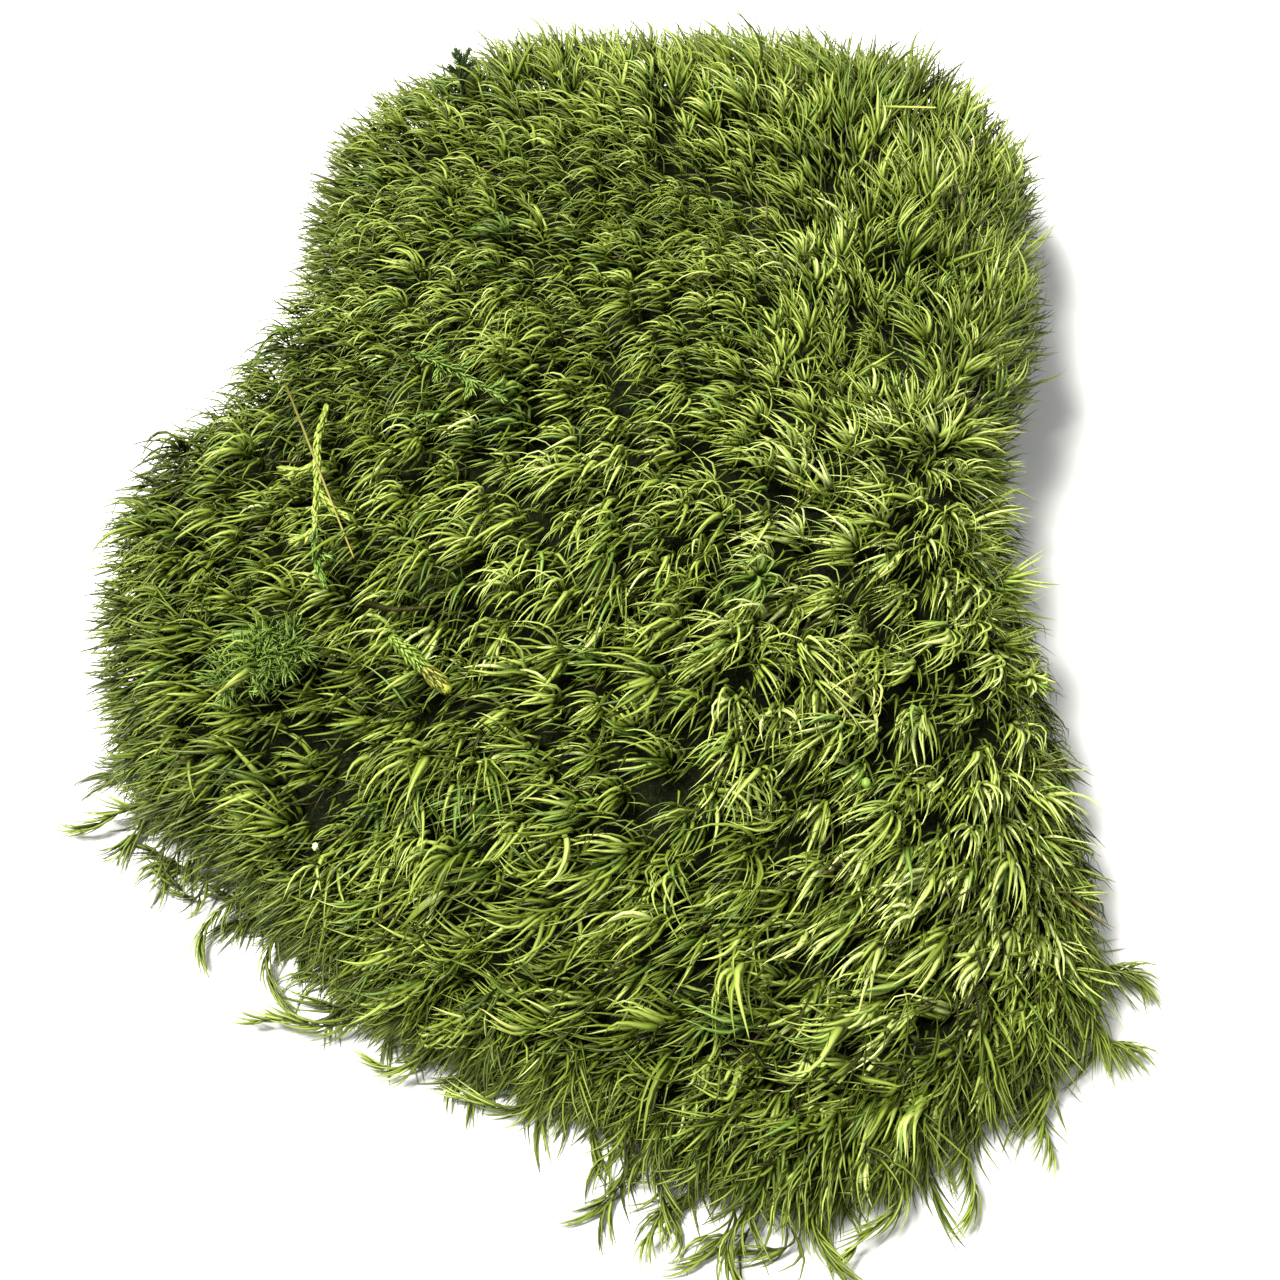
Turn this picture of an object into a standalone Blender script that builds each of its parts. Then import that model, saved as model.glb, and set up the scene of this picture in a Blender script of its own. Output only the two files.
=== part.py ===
"""Moss clump: a torn-off sheet of broom moss lying on its cut underside.

The interlocked shoots are one low cushion, high at the back and sloping down
to the front, with a waist in its right side. Loose shoots trail out from
under its rim along the surface, and small strands of other plants, dead
stalks and a leaf lie caught on top. All lengths are in metres, +Z is up and
the clump rests on z = 0.
"""
import math

import bmesh
import bpy
import numpy as np
from mathutils.bvhtree import BVHTree

# Cushion: heights
CREST_HEIGHT = 0.0440     # top of the leaf tips along the back
FRONT_DROP = 0.0340       # how much lower the front edge is than the crest
SLOPE_START_Y = 0.070     # the top is level behind this line
SLOPE_LENGTH = 0.165      # from that line to the front edge
CROWN_HALF_WIDTH = 0.090  # the top falls off to both sides over this width
CROWN_FALL = 0.12         # share of the height lost at that width
RIM_HEIGHT_BACK = 0.015   # height at which the side bulges out furthest
RIM_HEIGHT_FRONT = 0.0055
UNDERCUT = 0.0065         # how far the cut underside lies inside the rim

# Cushion: relief of the tufts
SWELL = 0.0017            # broad swellings, height
TUFT = 0.0015             # single tufts, height
RIM_TUFT = 0.0013         # single tufts, outward at the rim
ROWS = 25                 # tufts from the middle to the rim
RIM_CROWDING = 0.18       # how much closer the tufts sit towards the rim

# Cushion: reach of the rim from the middle, as (bearing in degrees, metres),
# anticlockwise from the right-hand side
RIM = ((1, 0.0655), (11, 0.0640), (26, 0.0700), (33, 0.0765), (37, 0.0875),
       (44, 0.1022), (50, 0.1128), (56, 0.1276), (61, 0.1335), (67, 0.1365),
       (76, 0.1360), (86, 0.1305), (97, 0.1325), (105, 0.1285),
       (117, 0.1200), (122, 0.1090), (130, 0.0960), (138, 0.0895),
       (151, 0.0880), (162, 0.0935), (173, 0.0920), (185, 0.0885),
       (197, 0.0850), (204, 0.0770), (214, 0.0725), (227, 0.0710),
       (239, 0.0725), (252, 0.0705), (260, 0.0735), (270, 0.0775),
       (279, 0.0860), (286, 0.0930), (295, 0.0935), (305, 0.0915),
       (317, 0.0930), (323, 0.0905), (329, 0.0840), (340, 0.0755),
       (350, 0.0695))

# Trailing shoots: name -> bearing of the place they leave the rim, heading
# there, heading at the tip (all in degrees), length, half-width
TRAILING = {
    "trailing_shoot_left_1": (197, 196, 176, 0.0185, 0.0016),
    "trailing_shoot_left_2": (208, 212, 268, 0.0190, 0.0012),
    "trailing_shoot_left_3": (214, 230, 304, 0.0215, 0.0011),
    "trailing_shoot_left_4": (235, 216, 180, 0.0230, 0.0017),
    "trailing_shoot_front_left_1": (248, 222, 176, 0.0180, 0.0017),
    "trailing_shoot_front_left_2": (261, 232, 170, 0.0175, 0.0015),
    "trailing_shoot_front_1": (275, 244, 262, 0.0180, 0.0015),
    "trailing_shoot_front_2": (283, 240, 284, 0.0210, 0.0018),
    "trailing_shoot_front_3": (290, 246, 298, 0.0220, 0.0019),
    "trailing_shoot_front_4": (298, 262, 236, 0.0200, 0.0017),
    "trailing_shoot_front_5": (307, 280, 240, 0.0210, 0.0017),
    "trailing_shoot_front_6": (315, 296, 250, 0.0185, 0.0015),
    "trailing_shoot_right_1": (320, 330, 300, 0.0140, 0.0020),
    "trailing_shoot_right_2": (325, 342, 312, 0.0135, 0.0017),
}
TUCK = 0.0030             # how far a trailing shoot starts inside the rim
TRAILING_RINGS = 13
TRAILING_SIDES = 7

# Pieces caught on top: clearance over the leaf tips, then the places in plan
# that each one runs through and its half-thickness
CAUGHT_GAP = 0.0005
STRAW_STRAND = ((-0.0525, 0.0350), (-0.0535, 0.0270), (-0.0530, 0.0190),
                (-0.0528, 0.0110), (-0.0518, 0.0040), (-0.0490, -0.0025))
STRAW_HALF = 0.0007
NEEDLE = ((-0.0603, 0.0398), (-0.0455, 0.0036))
NEEDLE_HALF = 0.00030
NEEDLE_LIFT = 0.0016      # how far the straight needle bridges the tufts
GREEN_SPRIG = ((-0.0390, 0.0428), (-0.0338, 0.0402), (-0.0285, 0.0370),
               (-0.0228, 0.0336))
GREEN_SPRIG_HALF = 0.0005
GREEN_PATCH = ((-0.0672, -0.0140), (-0.0625, -0.0112), (-0.0575, -0.0095),
               (-0.0528, -0.0082))
GREEN_PATCH_HALF = 0.0006
LIME_SHOOT = ((-0.0395, -0.0085), (-0.0350, -0.0125), (-0.0295, -0.0175))
LIME_HALF = 0.0010
DEAD_STALK = ((-0.0440, -0.0030), (-0.0387, -0.0042), (-0.0335, -0.0040))
DEAD_HALF = 0.0009
DARK_SPRIG_FOOT = ((-0.0334, 0.1105), (-0.0336, 0.1160))
DARK_SPRIG_REACH = (0.0010, 0.0058, 0.0052)   # from its foot to its tip
DARK_SPRIG_HALF = 0.0009
BLADE_LEAF = ((-0.0373, -0.0508), (-0.0338, -0.0481), (-0.0301, -0.0456))
BLADE_HALF_WIDTH = 0.00085
BLADE_HALF_THICKNESS = 0.00016
BROWN_STALK = ((0.0310, 0.1100), (0.0295, 0.1075), (0.0270, 0.1045))
BROWN_HALF = 0.00030
PALE_STALK = ((0.0440, 0.1035), (0.0555, 0.1032))
PALE_HALF = 0.00026
BUD = ((0.0350, -0.0310), (0.0352, -0.0312))
BUD_RADII = (0.0008, 0.0011, 0.0008)
SPECK = ((-0.0508, -0.0382), (-0.0510, -0.0384))
SPECK_RADII = (0.0006, 0.0009, 0.0005)

# Colours (linear red, green, blue) and roughness
MOSS_GREEN = (0.105, 0.150, 0.018)
SHOOT_GREEN = (0.085, 0.125, 0.014)
STRAW = (0.480, 0.420, 0.130)
DRY_BROWN = (0.300, 0.215, 0.085)
FRESH_GREEN = (0.095, 0.290, 0.040)
LIME = (0.300, 0.450, 0.060)
DEAD_BROWN = (0.080, 0.060, 0.030)
DARK_GREEN = (0.018, 0.042, 0.012)
PALE_GREEN = (0.330, 0.430, 0.130)
BARK_BROWN = (0.090, 0.050, 0.022)
PALE_STRAW = (0.420, 0.430, 0.190)
WHITE = (0.720, 0.740, 0.660)

PIECES = []               # every object of the clump, in the order it is made


def material(name, colour, roughness):
    """A Principled material with one base colour."""
    mat = bpy.data.materials.new(name)
    mat.use_nodes = True
    shader = mat.node_tree.nodes["Principled BSDF"]
    shader.inputs["Base Color"].default_value = (*colour, 1.0)
    shader.inputs["Roughness"].default_value = roughness
    shader.inputs["Metallic"].default_value = 0.0
    mat.diffuse_color = (*colour, 1.0)
    mat.roughness = roughness
    return mat


def add_piece(name, verts, faces, mat):
    """Adds one closed, outward-facing, smooth-shaded object."""
    mesh = bpy.data.meshes.new(name)
    mesh.from_pydata([tuple(v) for v in verts], [], faces)
    bm = bmesh.new()
    bm.from_mesh(mesh)
    bmesh.ops.recalc_face_normals(bm, faces=bm.faces)
    if bm.calc_volume(signed=True) < 0:
        bmesh.ops.reverse_faces(bm, faces=bm.faces)
    bm.to_mesh(mesh)
    bm.free()
    mesh.polygons.foreach_set("use_smooth", [True] * len(mesh.polygons))
    mesh.materials.append(mat)
    obj = bpy.data.objects.new(name, mesh)
    bpy.context.scene.collection.objects.link(obj)
    PIECES.append(obj)
    return obj


def smooth_path(points, count):
    """A rounded curve through the points, as count evenly timed places."""
    pts = np.array(points, float)
    padded = np.vstack([2 * pts[0] - pts[1], pts, 2 * pts[-1] - pts[-2]])
    s = np.linspace(0, len(pts) - 1, count)
    i = np.minimum(s.astype(int), len(pts) - 2)
    t = (s - i)[:, None]
    a, b, c, d = padded[i], padded[i + 1], padded[i + 2], padded[i + 3]
    return 0.5 * (2 * b + (c - a) * t + (2 * a - 5 * b + 4 * c - d) * t ** 2
                  + (3 * b - a - 3 * c + d) * t ** 3)


def rim_reach(bearing):
    """Reach of the rim at a bearing, rounded through the listed places."""
    deg = np.array([b for b, _ in RIM], float)
    reach = np.array([r for _, r in RIM])
    deg = np.concatenate([deg[-3:] - 360, deg, deg[:3] + 360])
    reach = np.concatenate([reach[-3:], reach, reach[:3]])
    fine = np.linspace(deg[0], deg[-1], 2400)
    soft = np.convolve(np.interp(fine, deg, reach), np.ones(21) / 21, "same")
    return np.interp(np.degrees(bearing) % 360, fine, soft)


def top_height(x, y):
    """Height of the leaf tips over the plan, without the rounding at the rim."""
    down = np.clip((SLOPE_START_Y - y) / SLOPE_LENGTH, 0, 1)
    height = CREST_HEIGHT - FRONT_DROP * down ** 2
    height = height * (1 - CROWN_FALL * ((x + 0.005) / CROWN_HALF_WIDTH) ** 2)
    swell = (np.sin(x / 0.0071 + 1.3 * np.sin(y / 0.0125))
             + np.sin(y / 0.0064 + 1.1 * np.sin(x / 0.0140) + 2.0)
             + np.sin((x + y) / 0.0098 + 0.7))
    return height + SWELL * swell / 2.2


def cushion(mat, rng):
    """The interlocked shoots as one solid that reaches the leaf tips.

    The top is a disc of rows of tufts, six more in each row than in the one
    inside it, so that all are about as far apart. Row u of the way out lies
    at u (1 + c (1 - u^2)) of the rim's reach.
    """
    verts = [(0.0, 0.0, float(top_height(0.0, 0.0)))]
    starts, counts = [0], [1]
    for row in range(1, ROWS + 1):
        count = 6 * row
        bearing = np.linspace(0, 2 * math.pi, count, endpoint=False)
        bearing = bearing + (row % 2) * math.pi / count
        reach = rim_reach(bearing)
        front = np.clip(0.15 - np.sin(bearing), 0, 1)
        rim_z = RIM_HEIGHT_BACK + (RIM_HEIGHT_FRONT - RIM_HEIGHT_BACK) * front
        power = 4.2 - 1.8 * front
        u = row / ROWS
        rho = u * (1 + RIM_CROWDING * (1 - u * u))
        away = rho * reach + rho * RIM_TUFT * rng.uniform(-1, 1, count)
        x, y = away * np.cos(bearing), away * np.sin(bearing)
        drop = np.maximum(1 - rho ** power, 0) ** (1 / power)
        z = rim_z + (top_height(x, y) - rim_z) * drop
        z = z + TUFT * rng.uniform(-1, 1, count)
        starts.append(len(verts))
        counts.append(count)
        verts.extend(zip(x, y, z))
    for outset, level in ((0.15, 0.72), (0.52, 0.38), (1.0, 0.0)):
        away = reach - UNDERCUT * outset
        away = away + (level > 0) * RIM_TUFT * rng.uniform(-1, 1, count)
        starts.append(len(verts))
        counts.append(count)
        verts.extend(zip(away * np.cos(bearing), away * np.sin(bearing),
                         rim_z * level))
    verts.append((0.0, 0.0, 0.0))
    return add_piece("moss_cushion", verts, stitch(starts, counts), mat)


def stitch(starts, counts):
    """Triangles between the cushion's rows of points, which start at these
    indices and hold these many points, and its last point underneath."""
    faces = []
    for row in range(ROWS):
        inner, outer = counts[row], counts[row + 1]
        a0, b0 = starts[row], starts[row + 1]
        i = j = 0
        shift_in = 0.5 * (row % 2) / inner
        shift_out = 0.5 * ((row + 1) % 2) / outer
        while i < inner or j < outer:
            next_in = (i + 1) / inner + shift_in
            next_out = (j + 1) / outer + shift_out
            a, b = a0 + i % inner, b0 + j % outer
            if j < outer and (next_out <= next_in or i >= inner
                              or inner == 1):
                faces.append((a, b, b0 + (j + 1) % outer))
                j += 1
            elif inner == 1:
                break
            else:
                faces.append((a, b, a0 + (i + 1) % inner))
                i += 1
    for row in range(ROWS, len(counts) - 1):
        a0, b0, n = starts[row], starts[row + 1], counts[row]
        for j in range(n):
            k = (j + 1) % n
            faces.append((a0 + j, b0 + j, b0 + k))
            faces.append((a0 + j, b0 + k, a0 + k))
    last, n = starts[-1], counts[-1]
    for j in range(n):
        faces.append((last + j, last + n, last + (j + 1) % n))
    return faces


def cord(path, half_width, half_height, sides, twist=0.0):
    """A closed cord along a path: rounded rings with a point at both ends."""
    path = np.array(path, float)
    along = np.gradient(path, axis=0)
    along /= np.linalg.norm(along, axis=1)[:, None]
    side = np.cross(along, (0.0, 0.0, 1.0))
    side /= np.linalg.norm(side, axis=1)[:, None]
    over = np.cross(side, along)
    inner = slice(1, len(path) - 1)
    turn = np.linspace(0, 2 * math.pi, sides, endpoint=False)[None, :]
    turn = turn + twist * np.arange(len(path) - 2)[:, None]
    wide = np.array(half_width)[inner, None, None]
    high = np.array(half_height)[inner, None, None]
    rings = (path[inner, None, :]
             + np.cos(turn)[..., None] * wide * side[inner, None, :]
             + np.sin(turn)[..., None] * high * over[inner, None, :])
    count = len(path) - 2
    verts = np.vstack([path[:1], rings.reshape(-1, 3), path[-1:]])
    faces = []
    for j in range(sides):
        k = (j + 1) % sides
        faces.append((0, 1 + k, 1 + j))
        for i in range(count - 1):
            a, b = 1 + i * sides, 1 + (i + 1) * sides
            faces.append((a + j, a + k, b + k, b + j))
        last = 1 + (count - 1) * sides
        faces.append((last + j, last + k, len(verts) - 1))
    return verts, faces


def trailing_shoot(name, mat):
    """A loose leafy shoot lying along the surface, thickest before its tip."""
    bearing, leaving, at_tip, length, half = TRAILING[name]
    bearing = math.radians(bearing)
    start = (float(rim_reach(bearing)) - TUCK) * np.array(
        (math.cos(bearing), math.sin(bearing)))
    heading = np.radians(np.linspace(leaving, at_tip, TRAILING_RINGS))
    step = length / (TRAILING_RINGS - 1)
    steps = step * np.column_stack([np.cos(heading), np.sin(heading)])
    plan = start + np.vstack([[(0, 0)], np.cumsum(steps[:-1], axis=0)])
    t = np.linspace(0, 1, TRAILING_RINGS)
    bulk = 0.34 + 0.66 * np.sin(math.pi * t ** 0.85) ** 0.7
    scaly = 1 + 0.16 * np.where(np.arange(TRAILING_RINGS) % 2, 1, -1)
    wide = half * bulk * scaly
    high = 0.72 * wide
    floor = high + 0.00002
    path = np.column_stack([plan, floor])
    verts, faces = cord(path, wide, high, TRAILING_SIDES, 0.35)
    verts[:, 2] -= verts[:, 2].min()
    return add_piece(name, verts, faces, mat)


def resting_path(ground, points, count, half):
    """A path over the cushion, clear of its top by the caught pieces' gap."""
    plan = smooth_path(points, count)
    reach = half + 0.0006
    heights = []
    for x, y in plan:
        around = [(x + reach * math.cos(a), y + reach * math.sin(a))
                  for a in np.linspace(0, 2 * math.pi, 8, endpoint=False)]
        hits = [ground.ray_cast((px, py, 0.2), (0, 0, -1))[0]
                for px, py in around + [(x, y)]]
        heights.append(max(hit.z for hit in hits if hit is not None))
    heights = np.array(heights)
    raised = np.maximum(heights, np.maximum(np.roll(heights, 1),
                                            np.roll(heights, -1)))
    raised[0] = max(heights[0], heights[1])
    raised[-1] = max(heights[-1], heights[-2])
    return np.column_stack([plan, raised + half + CAUGHT_GAP])


def unite(obj, other):
    """Joins another closed object into this one as a single solid."""
    mod = obj.modifiers.new("joined", "BOOLEAN")
    mod.operation = "UNION"
    mod.solver = "EXACT"
    mod.object = other
    bpy.context.view_layer.objects.active = obj
    bpy.ops.object.modifier_apply(modifier=mod.name)
    PIECES.remove(other)
    mesh = other.data
    bpy.data.objects.remove(other)
    bpy.data.meshes.remove(mesh)


def sprig(name, mat, stem, half, branches, lift=0.0):
    """A small strand with side branches, all one solid.

    Each branch is (place along the stem 0..1, sideways length, forward
    length); a positive sideways length goes to the stem's left.
    """
    count = len(stem)
    t = np.linspace(0, 1, count)
    bulk = half * (0.55 + 0.45 * np.sin(math.pi * (0.12 + 0.8 * t)))
    bulk = bulk * (1 + 0.12 * np.where(np.arange(count) % 2, 1, -1))
    verts, faces = cord(stem, bulk, bulk * 0.8, 6)
    body = add_piece(name, verts, faces, mat)
    for place, sideways, forward in branches:
        i = int(round(place * (count - 1)))
        here = stem[i]
        ahead = stem[min(i + 1, count - 1)] - stem[max(i - 1, 0)]
        ahead = ahead / np.linalg.norm(ahead)
        left = np.cross((0.0, 0.0, 1.0), ahead)
        left = left / np.linalg.norm(left)
        tip = here + left * sideways + ahead * forward
        tip = tip + np.array((0.0, 0.0, lift + 0.0002))
        mid = here + 0.5 * (tip - here) + ahead * 0.12 * abs(sideways)
        path = smooth_path((here, mid, tip), 6)
        thick = half * np.array((0.45, 0.5, 0.58, 0.5, 0.36, 0.2))
        verts, faces = cord(path, thick, thick * 0.8, 5)
        unite(body, add_piece(name + "_branch", verts, faces, mat))
    return body


def pebble(name, mat, centre, radii, rows=6, sides=9):
    """A small rounded body."""
    polar = np.linspace(0, math.pi, rows + 1)
    path = np.column_stack([np.full(rows + 1, centre[0]),
                            centre[1] - radii[1] * np.cos(polar),
                            np.full(rows + 1, centre[2])])
    bulge = np.sin(polar)
    verts, faces = cord(path, radii[0] * bulge, radii[2] * bulge, sides)
    return add_piece(name, verts, faces, mat)


def thickness(half, *shares):
    """Half-thickness at each ring of a cord: these shares of its largest."""
    return half * np.array(shares)


def straw_strand(ground):
    """Pale strand of feather moss running down the left of the top."""
    stem = resting_path(ground, STRAW_STRAND, 17, STRAW_HALF)
    sprig("straw_feather_moss_strand",
          material("straw_feather_moss", STRAW, 0.6), stem, STRAW_HALF,
          ((0.30, -0.0048, 0.0010), (0.42, 0.0044, 0.0050),
           (0.60, -0.0026, 0.0022), (0.76, 0.0024, 0.0022)))


def dry_needle(ground):
    """Straight dry stalk that bridges the tufts across the straw strand."""
    path = resting_path(ground, NEEDLE, 22, NEEDLE_HALF)
    path[:, 2] = path[:, 2].max() + NEEDLE_LIFT
    thin = np.full(len(path), NEEDLE_HALF)
    thin[-6:] *= np.linspace(1.0, 0.5, 6)
    verts, faces = cord(path[::3], thin[::3], thin[::3], 6)
    add_piece("dry_needle", verts, faces,
              material("dry_needle", DRY_BROWN, 0.6))


def green_feather_moss(ground):
    """Bright green feather moss: a sprig near the middle, a patch at the left."""
    green = material("green_feather_moss", FRESH_GREEN, 0.5)
    stem = resting_path(ground, GREEN_SPRIG, 13, GREEN_SPRIG_HALF)
    sprig("green_feather_moss_sprig", green, stem, GREEN_SPRIG_HALF,
          ((0.16, 0.0028, 0.0018), (0.33, -0.0030, 0.0018),
           (0.5, 0.0030, 0.0018), (0.66, -0.0026, 0.0016),
           (0.83, 0.0020, 0.0014)))
    stem = resting_path(ground, GREEN_PATCH, 14, GREEN_PATCH_HALF)
    sprig("green_feather_moss_patch", green, stem, GREEN_PATCH_HALF,
          ((0.15, 0.0040, -0.0006), (0.31, -0.0050, 0.0006),
           (0.46, 0.0050, 0.0010), (0.62, -0.0050, 0.0014),
           (0.77, 0.0038, 0.0018)), 0.0008)


def lime_shoot(ground):
    """Lumpy lime-green shoot with a blunt end."""
    path = resting_path(ground, LIME_SHOOT, 12, LIME_HALF)
    bulk = thickness(LIME_HALF, 0.6, 0.85, 1, .92, 1.05, .92, 1, .9, 1, .85,
                     .8, .6)
    verts, faces = cord(path, bulk, bulk * 0.9, 8)
    add_piece("lime_cord_shoot", verts, faces,
              material("lime_cord_shoot", LIME, 0.5))


def dead_stalk(ground):
    """Dead brown stalk, wider than it is high."""
    path = resting_path(ground, DEAD_STALK, 10, DEAD_HALF)
    bulk = thickness(DEAD_HALF, 0.5, 0.8, 1, 1, .95, 1, .9, .8, .6, .4)
    verts, faces = cord(path, bulk * 1.4, bulk * 0.8, 7, 0.2)
    add_piece("dead_brown_stalk", verts, faces,
              material("dead_stalk", DEAD_BROWN, 0.8))


def dark_sprig(ground):
    """Dark compact sprig standing up at the back left."""
    foot = resting_path(ground, DARK_SPRIG_FOOT, 4, DARK_SPRIG_HALF)[0]
    t = np.linspace(0, 1, 10)[:, None]
    stem = foot + t * np.array(DARK_SPRIG_REACH) \
        + np.sin(math.pi * t) * np.array((-0.0008, 0.0, 0.0008))
    sprig("dark_moss_sprig", material("dark_moss", DARK_GREEN, 0.6), stem,
          DARK_SPRIG_HALF, ((0.33, 0.0018, 0.0014), (0.45, -0.0020, 0.0014),
                            (0.66, 0.0016, 0.0014)), 0.0004)


def blade_leaf(ground):
    """One broad pale leaf."""
    path = resting_path(ground, BLADE_LEAF, 9, 0.0007)
    wide = thickness(BLADE_HALF_WIDTH, 0.3, 0.7, 1, 1.1, 1.1, 1, .8, .5, .2)
    verts, faces = cord(path, wide, np.full(9, BLADE_HALF_THICKNESS), 6)
    add_piece("blade_leaf", verts, faces,
              material("blade_leaf", PALE_GREEN, 0.45))


def back_stalks(ground):
    """Two thin level stalks at the back, each tapering to its tip."""
    path = resting_path(ground, BROWN_STALK, 9, 0.0003)
    path[:, 2] = path[:, 2].max()
    thin = BROWN_HALF * np.linspace(1.1, 0.6, 9)
    verts, faces = cord(path, thin, thin, 6)
    add_piece("thin_brown_stalk", verts, faces,
              material("thin_brown_stalk", BARK_BROWN, 0.7))
    path = resting_path(ground, PALE_STALK, 11, 0.0003)
    path[:, 2] = path[:, 2].max()
    thin = PALE_HALF * np.linspace(1.1, 0.6, 11)
    verts, faces = cord(path[::2], thin[::2], thin[::2], 6)
    add_piece("pale_stalk", verts, faces,
              material("pale_stalk", PALE_STRAW, 0.6))


def loose_bits(ground):
    """A green bud and a pale speck."""
    spot = resting_path(ground, BUD, 3, 0.0009)[1]
    pebble("green_bud", material("green_bud", FRESH_GREEN, 0.4), spot,
           BUD_RADII)
    spot = resting_path(ground, SPECK, 3, 0.0007)[1]
    pebble("pale_speck", material("pale_speck", WHITE, 0.7), spot,
           SPECK_RADII, 5, 7)


def centre_pieces():
    """Puts the middle of the whole clump's plan at the origin."""
    lo = np.min([np.min([v.co for v in o.data.vertices], axis=0)
                 for o in PIECES], axis=0)
    hi = np.max([np.max([v.co for v in o.data.vertices], axis=0)
                 for o in PIECES], axis=0)
    mid = (lo + hi) / 2
    for obj in PIECES:
        co = np.empty(len(obj.data.vertices) * 3)
        obj.data.vertices.foreach_get("co", co)
        co = co.reshape(-1, 3) - (mid[0], mid[1], 0.0)
        obj.data.vertices.foreach_set("co", co.ravel())
        obj.data.update()
    print("size", (hi - lo).round(4), "middle", mid.round(4))


def main():
    for obj in list(bpy.data.objects):
        bpy.data.objects.remove(obj)
    rng = np.random.default_rng(41)

    body = cushion(material("moss_leaves", MOSS_GREEN, 0.55), rng)
    ground = BVHTree.FromPolygons([v.co for v in body.data.vertices],
                                  [tuple(p.vertices) for p in body.data.polygons])
    shoot_mat = material("trailing_shoot_leaves", SHOOT_GREEN, 0.55)
    for name in TRAILING:
        trailing_shoot(name, shoot_mat)
    straw_strand(ground)
    dry_needle(ground)
    green_feather_moss(ground)
    lime_shoot(ground)
    dead_stalk(ground)
    dark_sprig(ground)
    blade_leaf(ground)
    back_stalks(ground)
    loose_bits(ground)
    centre_pieces()


main()
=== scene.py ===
"""Moss clump: the looks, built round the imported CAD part.

A sheet of broom moss lies on its cut underside. Every shoot is a bent stem
with long, one-sided, sickle-shaped leaves. The sheet stands high at the back
and runs down to the front, where the shoots lie combed along the slope.
"""
import math

import bpy
import numpy as np
from bpy.props import (FloatProperty, FloatVectorProperty, IntProperty,
                       PointerProperty)
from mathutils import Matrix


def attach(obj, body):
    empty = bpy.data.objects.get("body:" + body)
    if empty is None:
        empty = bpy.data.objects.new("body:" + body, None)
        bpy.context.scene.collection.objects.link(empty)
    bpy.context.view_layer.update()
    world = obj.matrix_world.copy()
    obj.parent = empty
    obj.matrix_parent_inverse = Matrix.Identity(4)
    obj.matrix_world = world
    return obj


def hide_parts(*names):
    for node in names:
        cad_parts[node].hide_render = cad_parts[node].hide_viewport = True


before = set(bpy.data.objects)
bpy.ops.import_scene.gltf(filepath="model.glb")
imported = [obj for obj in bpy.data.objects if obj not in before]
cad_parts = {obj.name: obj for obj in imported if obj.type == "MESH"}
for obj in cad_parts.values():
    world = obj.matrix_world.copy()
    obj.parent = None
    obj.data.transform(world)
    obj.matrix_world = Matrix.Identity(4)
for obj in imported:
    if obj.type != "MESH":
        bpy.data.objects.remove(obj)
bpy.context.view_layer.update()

bl_info = {
    "name": "Moss clump",
    "version": (1, 0, 0),
    "blender": (4, 5, 0),
    "location": "3D View > Sidebar > Moss",
    "description": "Builds a torn-off sheet of broom moss shoot by shoot",
    "category": "Add Mesh",
}

# The cushion: the same outline and heights as in the CAD part, in metres from
# its own middle. MIDDLE is where the clump's middle lies from there.
MIDDLE = np.array((-0.0075, 0.0133, 0.0))
CREST_HEIGHT, FRONT_DROP = 0.0440, 0.0340
SLOPE_START_Y, SLOPE_LENGTH = 0.070, 0.165
CROWN_HALF_WIDTH, CROWN_FALL = 0.090, 0.12
RIM_HEIGHT_BACK, RIM_HEIGHT_FRONT = 0.015, 0.0055
UNDERCUT, SWELL = 0.0065, 0.0017
RIM = ((1, 0.0655), (11, 0.0640), (26, 0.0700), (33, 0.0765), (37, 0.0875),
       (44, 0.1022), (50, 0.1128), (56, 0.1276), (61, 0.1335), (67, 0.1365),
       (76, 0.1360), (86, 0.1305), (97, 0.1325), (105, 0.1285),
       (117, 0.1200), (122, 0.1090), (130, 0.0960), (138, 0.0895),
       (151, 0.0880), (162, 0.0935), (173, 0.0920), (185, 0.0885),
       (197, 0.0850), (204, 0.0770), (214, 0.0725), (227, 0.0710),
       (239, 0.0725), (252, 0.0705), (260, 0.0735), (270, 0.0775),
       (279, 0.0860), (286, 0.0930), (295, 0.0935), (305, 0.0915),
       (317, 0.0930), (323, 0.0905), (329, 0.0840), (340, 0.0755),
       (350, 0.0695))

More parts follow.
